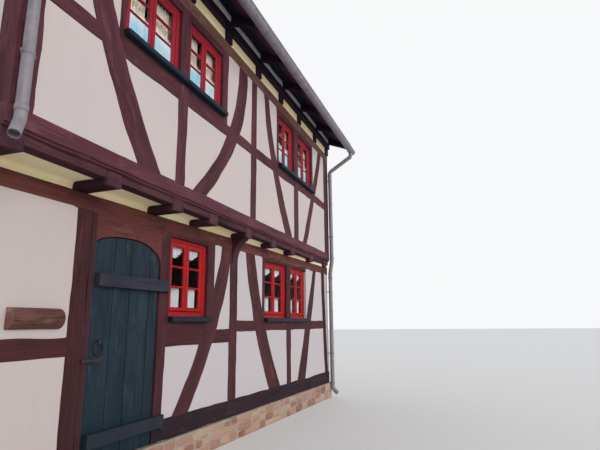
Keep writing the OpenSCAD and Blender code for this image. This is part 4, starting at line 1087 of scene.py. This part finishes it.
def plank(soup, x0, x1, z0, front, back, seed):
    """An upright board with softened edges, cut off under the arch."""
    xs = [x0, x0 + SEAM, *np.linspace(x0 + 0.02, x1 - 0.02, 5), x1 - SEAM, x1]
    n, rows = len(xs), 16
    points, grain = [], []
    for side in (0, 1):
        for j in range(rows + 1):
            for i, x in enumerate(xs):
                head = door_top(min(max(x, DOOR_L + 0.0005), DOOR_R - 0.0005))
                z = z0 + (head - z0) * j / rows
                y = back
                if side == 0:
                    cup = 0.0025 * math.sin(math.pi * i / (n - 1))
                    y = front - cup + SEAM * (i in (0, n - 1)) + 0.0015 * wave(z, seed, 0.5)
                    x = x + 0.0015 * wave(z, seed + i, 0.3) * (i in (0, 1, n - 2, n - 1))
                points.append((min(max(x, DOOR_L), DOOR_R), y, z))
                grain.append((z + seed * 3, x + seed, y))
    half = (rows + 1) * n
    faces = []
    for j in range(rows):
        for i in range(n - 1):
            a = j * n + i
            faces.append((a, a + 1, a + n + 1, a + n))
            faces.append((half + a, half + a + n, half + a + n + 1, half + a + 1))
        for i in (0, n - 1):
            a = j * n + i
            faces.append((a, a + n, half + a + n, half + a))
    for i in range(n - 1):
        for a in (i, rows * n + i):
            faces.append((a, a + 1, half + a + 1, half + a))
    soup.add(LOWER, points, faces, grain)


def make_door():
    leaf = Soup()
    for i, (a, b) in enumerate(zip(PLANKS, PLANKS[1:])):
        plank(leaf, a + (SEAM if i else 0), b - (SEAM if i < 3 else 0), PLINTH + 0.012,
              0.0175 + 0.0015 * (i % 2), 0.055, 5 + 3 * i)
    leaf.piece("door_planks", "door_paint", "door_boards", "front_door", "door_leaf", 40)
    nails = Soup()
    rng = random.Random(4)
    for z in (PLINTH + 0.17, PLINTH + 1.69):
        for a, b in zip(PLANKS, PLANKS[1:]):
            for share in (0.28, 0.72):
                for dz in (0.035, 0.095):
                    x = a + (b - a) * share + rng.uniform(-0.01, 0.01)
                    spot = max(x, DOOR_L + 0.04), -0.0535, z + dz + rng.uniform(-0.008, 0.008)
                    disc(nails, LOWER, spot, 0.0075, 0.004, 10, dome=0.002)
    nails.piece("door_nails", "iron", "iron", body="door_leaf", smooth=50)


# ---------------------------------------------------------------- roof

ROOF_TOP = under(MID) + RAFTER + 0.09
SLOPE = [(y, under(y)) for y in (-EAVES_OUT - 0.06, BREAK_IN, MID)]
LOW_LEN = math.dist(*SLOPE[:2])
ROOF_LEN = LOW_LEN + math.dist(*SLOPE[1:])
ROOF_LEFT, ROOF_RIGHT = -VERGE, LENGTH + VERGE


def roof_at(s, lift=0.0):
    """Point at distance s up the slope and at a height over the top of the rafters."""
    (y0, z0), (y1, z1), (y2, z2) = SLOPE
    a0, a1 = math.atan2(z1 - z0, y1 - y0), math.atan2(z2 - z1, y2 - y1)
    if s <= LOW_LEN:
        y, z = y0 + s * math.cos(a0), z0 + s * math.sin(a0)
    else:
        y, z = y1 + (s - LOW_LEN) * math.cos(a1), z1 + (s - LOW_LEN) * math.sin(a1)
    bend = 0.3
    a = a0 + (a1 - a0) * min(max((s - LOW_LEN + bend / 2) / bend, 0), 1)
    return y - math.sin(a) * lift, z + RAFTER + math.cos(a) * lift


def make_roof(matrix, name, seed):
    """Plain tiles in courses over boards."""
    rng = random.Random(seed)
    tiles = Soup()
    gauge, length, thick, deck, joint = 0.15, 0.335, 0.012, 0.014, 0.0016
    count = int((ROOF_RIGHT - ROOF_LEFT) / 0.172)
    width = (ROOF_RIGHT - ROOF_LEFT) / count
    tail = [(-1.0, 0.055), (-0.8, 0.026), (-0.45, 0.006), (0.0, 0.0), (0.45, 0.006),
            (0.8, 0.026), (1.0, 0.055)]
    s, course = 0.024, 0
    while s < ROOF_LEN - 0.1:
        head = min(s + length, ROOF_LEN - 0.012)
        odd = course % 2
        for i in range(count + odd):
            mid = ROOF_LEFT + (i + 0.5) * width - (width / 2 if odd else 0)
            half = width / 2 - joint
            a, b = max(mid - half, ROOF_LEFT), min(mid + half, ROOF_RIGHT)
            if b - a < 0.03:
                continue
            skew = rng.uniform(-0.002, 0.002)
            lift, slip, tone = rng.uniform(0, 0.0018), rng.uniform(-0.004, 0.004), rng.uniform(0, 1)
            curve = 1.0 if b - a > width * 0.7 else 0.5
            if course == 0:
                lift, slip, curve = 0, 0, 0
            outline = [((a + b) / 2 + u * (b - a) / 2 + skew, max(s + v * curve + slip, 0.001))
                       for u, v in tail] + [(b, head), (a, head)]
            lower, upper = [], []
            for x, d in outline:
                n = deck + 2.35 * thick * (1 - min(max((d - s) / length, 0), 1)) + lift
                lower.append((x, *roof_at(d, n)))
                upper.append((x, *roof_at(d, n + thick)))
            m = len(outline)
            faces = [tuple(range(m)), tuple(range(2 * m - 1, m - 1, -1))]
            faces += [(k, m + k, m + (k + 1) % m, (k + 1) % m) for k in range(m)]
            tiles.add(matrix, lower + upper, faces, tone=tone)
        s += gauge
        course += 1
    tiles.piece(name + "_tiles", "tiles", "tiles", name, smooth=30)
    boards = Soup()
    s, k = 0.0, 0
    while s < ROOF_LEN - 0.02:
        e = min(s + 0.17, ROOF_LEN - 0.004)
        low, high = 0.0008 * (k % 2), deck - 0.001
        section = [roof_at(s + 0.002, low), roof_at(e - 0.002, low), roof_at(e - 0.002, high),
                   roof_at(s + 0.002, high)]
        extrude(boards, matrix, section, ROOF_LEFT + 0.004, ROOF_RIGHT - 0.004, 2.0, seed=k)
        s, k = e, k + 1
    boards.piece(name + "_boards", "soffit_x", "timber", name, smooth=20)


def make_ridge():
    rng = random.Random(77)
    ridge = Soup()
    count, thick = 24, 0.014
    step = (ROOF_RIGHT - ROOF_LEFT) / count
    for i in range(count):
        x0 = ROOF_LEFT + i * step
        x1 = ROOF_LEFT + (i + 1) * step + (0.03 if i < count - 1 else 0)
        tone = rng.uniform(0.1, 1)
        dy, dz = rng.uniform(-0.003, 0.003), rng.uniform(-0.004, 0.0)
        rings = [(x0, 0.1285), (x0 + 0.004, 0.13), (x0 + 0.034, 0.13), (x0 + 0.042, 0.1245),
                 (x1 - 0.03, 0.1205), (x1, 0.1195)]
        points = []
        for x, r in rings:
            arch = [(r, a) for a in np.linspace(-22, 202, 19)]
            arch += [(r - thick, a) for a in np.linspace(202, -22, 19)]
            points += [(x, MID + dy + q * math.cos(math.radians(a)),
                        ROOF_TOP - 0.046 + dz + q * math.sin(math.radians(a))) for q, a in arch]
        ridge.add(HOUSE, points, ring_faces(38, len(rings)), tone=tone)
    ridge.piece("ridge_pieces", "tiles", "tiles", "ridge_tiles", smooth=40)
    bed = Soup()
    for side in (-1, 1):
        section = [(MID + side * y, ROOF_TOP - z) for y, z in (
            (0.128, 0.15), (0.142, 0.145), (0.128, 0.092), (0.1, 0.08), (0.09, 0.12))]
        extrude(bed, HOUSE, section[::side], ROOF_LEFT + 0.01, ROOF_RIGHT - 0.01, 0.06, 0.01,
                50 + side, 0.004)
    bed.piece("ridge_mortar", "ridge_mortar", "masonry", smooth=60)


def make_patches():
    """Plaster that fills the gaps between the rafters over the eaves purlin."""
    thick = 0.11
    stops = [0.0, *(x + 0.03 for x in (1.1, 2.15, 3.15, 4.2, 5.2, 6.2, LENGTH - 1.11)),
             LENGTH - thick]
    y = -0.066
    low, high = under(y) - 0.004, under(y) + RAFTER - 0.004
    section = [(0.02, low), (0.02, high + 0.02), (y + 0.012, high), (y, high - 0.02),
               (y - 0.003, low + 0.05), (y + 0.002, low)]
    patches = Soup()
    for matrix in (HOUSE, REAR):
        for i, (a, b) in enumerate(zip(stops, stops[1:])):
            if matrix is REAR:
                a, b = LENGTH - b - thick, LENGTH - a - thick
            extrude(patches, matrix, section, a + thick, b, 0.06, 0.012, 60 + i,
                    clamp=lambda x, y: max(y, -0.074))
    patches.piece("rafter_plaster", "patch", "plaster", smooth=50)


# ---------------------------------------------------------------- rainwater goods

PIPE = 0.045
PIPE_SIDES = 22
PIPE_OFF = 0.075
GUTTER_Y = -(EAVES_OUT + 0.075 + 0.01)
PIPE_TOP = under(-EAVES_OUT) - 0.045 - 0.075 - 0.0043
SWAN_FOOT = PIPE_TOP - 0.43


def smooth_path(points, radius):
    """The points joined by straight runs and round bends."""
    path = [Vector(points[0])]
    for before, corner, after in zip(points, points[1:], points[2:]):
        before, corner, after = Vector(before), Vector(corner), Vector(after)
        a, b = (before - corner).normalized(), (after - corner).normalized()
        half = a.angle(b) / 2
        cut = min(radius / math.tan(half), (before - corner).length * 0.48,
                  (after - corner).length * 0.48)
        centre = corner + (a + b).normalized() * (cut * math.tan(half) / math.sin(half))
        start, end = corner + a * cut - centre, corner + b * cut - centre
        axis = start.cross(end).normalized()
        path += [centre + Matrix.Rotation(start.angle(end) * k / 6, 4, axis) @ start
                 for k in range(7)]
    path.append(Vector(points[-1]))
    return path


def tube(soup, matrix, points, radius, bend):
    """A bent pipe, hollow at both ends."""
    path = smooth_path(points, bend)
    final, bore, depth = len(path) - 1, radius - 0.003, 0.06
    side = Vector((1, 0, 0))
    rings = []
    for k, p in enumerate(path):
        ahead = (path[min(k + 1, final)] - path[max(k - 1, 0)]).normalized()
        if 0 < k < final:
            ahead = ((path[k + 1] - p).normalized() + (p - path[k - 1]).normalized()).normalized()
        side = (side - ahead * side.dot(ahead)).normalized()
        rings.append((p, side, ahead.cross(side), radius))
        if k == 0:
            rings[:0] = [(p + ahead * depth, *rings[0][1:3], bore), (p, *rings[0][1:3], bore)]
    rings += [(p, *rings[-1][1:3], bore), (p - ahead * depth, *rings[-1][1:3], bore)]
    points = [p + u * a + v * b for p, u, v, r in rings for a, b in circle(r, PIPE_SIDES)]
    soup.add(matrix, points, ring_faces(PIPE_SIDES, len(rings)))


def collar(soup, matrix, centre, radius, height):
    rows = [(0, -0.004), (0.003, 0.0), (height * 0.5, 0.0015), (height - 0.003, 0.0),
            (height, -0.004)]
    x, y, z = centre
    points = [(x + u, y + v, z + h) for h, extra in rows
              for u, v in circle(radius + extra, PIPE_SIDES)]
    soup.add(matrix, points, ring_faces(PIPE_SIDES, len(rows)))


def pipe_clamp(soup, matrix, x, y, z, wall):
    """A ring round the pipe with a stay to the wall and two ears with screws."""
    collar(soup, matrix, (x, y, z - 0.015), PIPE + 0.005, 0.03)
    extrude(soup, matrix @ turned(0, 0, math.pi / 2),
            rounded(-x - 0.008, -x + 0.008, z - 0.008, z + 0.008, 0.003),
            min(y, wall), max(y, wall))
    for side in (-1, 1):
        edge = x + side * (PIPE + 0.004)
        ear = sorted((edge, edge + side * 0.018))
        extrude(soup, matrix, rounded(y - 0.003, y + 0.003, z - 0.013, z + 0.013, 0.001), *ear)
        disc(soup, matrix, (edge + side * 0.01, y - 0.003, z), 0.005, 0.004, 6)


def downpipe(soup, matrix, x, bends, clamps, collars):
    """A pipe from the gutter's outlet down. bends are (x, y, z) below the swan neck,
    clamps (y, z, face of the wall), collars (y, z)."""
    neck = [(x, GUTTER_Y, PIPE_TOP), (x, GUTTER_Y, PIPE_TOP - 0.09), (x, -PIPE_OFF, SWAN_FOOT)]
    tube(soup, matrix, neck + bends, PIPE, 0.1)
    for y, z, wall in clamps:
        pipe_clamp(soup, matrix, x, y, z, wall)
    for y, z in collars:
        collar(soup, matrix, (x, y, z), PIPE + 0.0045, 0.05)


def make_pipes():
    front, rear = Soup(), Soup()
    off, inset, out, foot_z, spout_z = -PIPE_OFF, 0.06, 0.11, 0.21, 0.1
    upper = [(off, 5.04, 0.0), (off, 3.645, 0.0)]
    neck = off, SWAN_FOOT - 0.12
    downpipe(front, HOUSE, inset, [(inset, off, 3.11), (inset - 0.07, off - 0.05, 2.96)],
             upper, [neck, (off, 3.17)])
    x = LENGTH - inset
    foot = JETTY_LEFT - x * TAPER
    step = foot - 0.093
    downpipe(front, HOUSE, x, [(x, off, FLOOR), (x, step, JOIST - 0.145), (x, step, foot_z),
                               (x, step - out, spout_z)],
             upper + [(step, 2.345, foot), (step, 0.96, foot)],
             [neck, (off, 3.1), (step, 2.64), (step, 0.3)])
    downpipe(rear, REAR, x, [(x, off, foot_z), (x, off - out, spout_z)],
             upper + [(off, 2.345, 0.0), (off, 0.96, 0.0)], [neck, (off, 2.9), (off, 0.3)])
    front.piece("front_pipes", "zinc", "zinc", "front_downpipes", smooth=50)
    rear.piece("rear_pipe", "zinc", "zinc", "rear_downpipe", smooth=50)


# ---------------------------------------------------------------- half log


def make_log():
    """A board cut from the side of a trunk, with its bark edge."""
    radius, height, n = 0.092, 1.685, 21
    xs = [0.56, 0.563, *np.linspace(0.575, 1.055, 26), 1.067, 1.07]
    last = len(xs) - 1
    points, grain, tones = [], [], []
    for k, x in enumerate(xs):
        for i in range(n):
            a = math.radians(90 + 180 * i / (n - 1))
            c, s = math.cos(a), math.sin(a)
            bark = 1 + 0.035 * hum(x * 3, 2.2 * c, 2.2 * s + 4) + 0.012 * hum(x * 9, 9 * c, 9 * s)
            r = radius * min(bark, 1.0) * (0.9 if k in (0, last) else 1.0)
            points.append((x, 0.006 + min(r * c, -0.0001), height + r * s))
            grain.append((x, a * 0.09, 0.0))
            tones.append(0.9 if k in (0, 1, last - 1, last) else 0.3)
    log = Soup()
    log.add(LOWER, points, ring_faces(n, len(xs)), grain, tones)
    log.piece("half_log", "log_wood", "log_wood", "log_board", smooth=50)


# ---------------------------------------------------------------- stage, lights and camera


def make_stage():
    size = 120
    material("pale_floor").done(Base_Color=(0.8, 0.79, 0.78), Roughness=0.9)
    corners = [(-size, -size, 0), (size, -size, 0), (size, size, 0), (-size, size, 0)]
    linked("floor", meshed("floor", corners, [(0, 1, 2, 3)], "pale_floor"))
    world = bpy.data.worlds.new("studio")
    s = Shader(world)
    rays = s.add("LightPath").outputs
    seen = s.math("MAXIMUM", rays["Is Camera Ray"], rays["Is Transmission Ray"])
    seen = s.math("MAXIMUM", seen, rays["Is Glossy Ray"])
    light, back = (s.add("Background", {"Color": colour, "Strength": power}).outputs[0]
                   for colour, power in (((0.93, 0.96, 1.0), 0.7), ((0.93, 0.94, 0.95), 1.0)))
    mix = s.add("MixShader", {0: seen, 1: light, 2: back})
    s.add("OutputWorld", {0: mix.outputs[0]})
    bpy.context.scene.world = world
    for name, power, spread, colour, tilt, turn in (
            ("key", 1.2, 28, (1.0, 0.97, 0.93), 70, -28), ("fill", 0.34, 50, (1, 1, 1), 82, 14)):
        sun = bpy.data.lights.new(name, "SUN")
        sun.energy, sun.angle, sun.color = power, math.radians(spread), colour
        linked(name, sun).rotation_euler = math.radians(tilt), 0, math.radians(turn)
    bpy.context.scene.view_settings.view_transform = "Standard"


def make_camera():
    data = bpy.data.cameras.new("camera")
    data.sensor_width, data.lens = 36, 27.8
    data.clip_start, data.clip_end = 0.05, 300
    right = Vector((0.34049, -0.9402, -0.00946))
    down = Vector((0.19296, 0.07972, -0.97796))
    ahead = Vector((0.92023, 0.33117, 0.20857))
    turn = Matrix((right, -down, -ahead)).transposed()
    camera = linked("camera", data)
    camera.matrix_world = Matrix.Translation((-6.4, -6.571, 1.62)) @ turn.to_4x4()
    bpy.context.scene.camera = camera


def dress(node, paint, bevel):
    """A node of the solids keeps its shape and gets its material and softened edges."""
    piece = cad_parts[node]
    piece.data.materials.clear()
    piece.data.materials.append(MATERIALS[paint])
    if bevel:
        soft = piece.modifiers.new("soft_edges", "BEVEL")
        soft.width, soft.segments = bevel, 2
        soft.limit_method, soft.angle_limit = "ANGLE", math.radians(35)


make_materials()
make_walls()
make_windows()
make_jetty()
make_bracket()
make_plinth()
make_door()
make_roof(HOUSE, "front_roof", 11)
make_roof(REAR, "rear_roof", 12)
make_ridge()
make_patches()
make_pipes()
make_log()
make_stage()
make_camera()
for row in (
        ("plinth", "mortar", 0), ("ground_floor", "mortar", 0),
        ("door_frame", "head_board", 0.005), ("door_battens", "batten_paint", 0.006),
        ("door_ironwork", "iron", 0.0015), ("door_pintles", "iron", 0.0015),
        ("left_party_wall", "masonry", 0), ("right_party_wall", "masonry", 0),
        ("joist_infill", "cream", 0.003), ("upper_floor", "floor_boards", 0),
        ("wall_plates", "plate_x", 0.008), ("attic_beams", "eaves_timber", 0.008),
        ("attic_floor", "floor_boards", 0), ("eaves_purlins", "eaves_timber_x", 0.008),
        ("eaves_infill", "eaves_plaster", 0.003), ("rafters", "eaves_timber", 0.006),
        ("gutters", "zinc", 0), ("ground_glass", "window_glass", 0),
        ("upper_glass", "upper_window_glass", 0)):
    dress(*row)
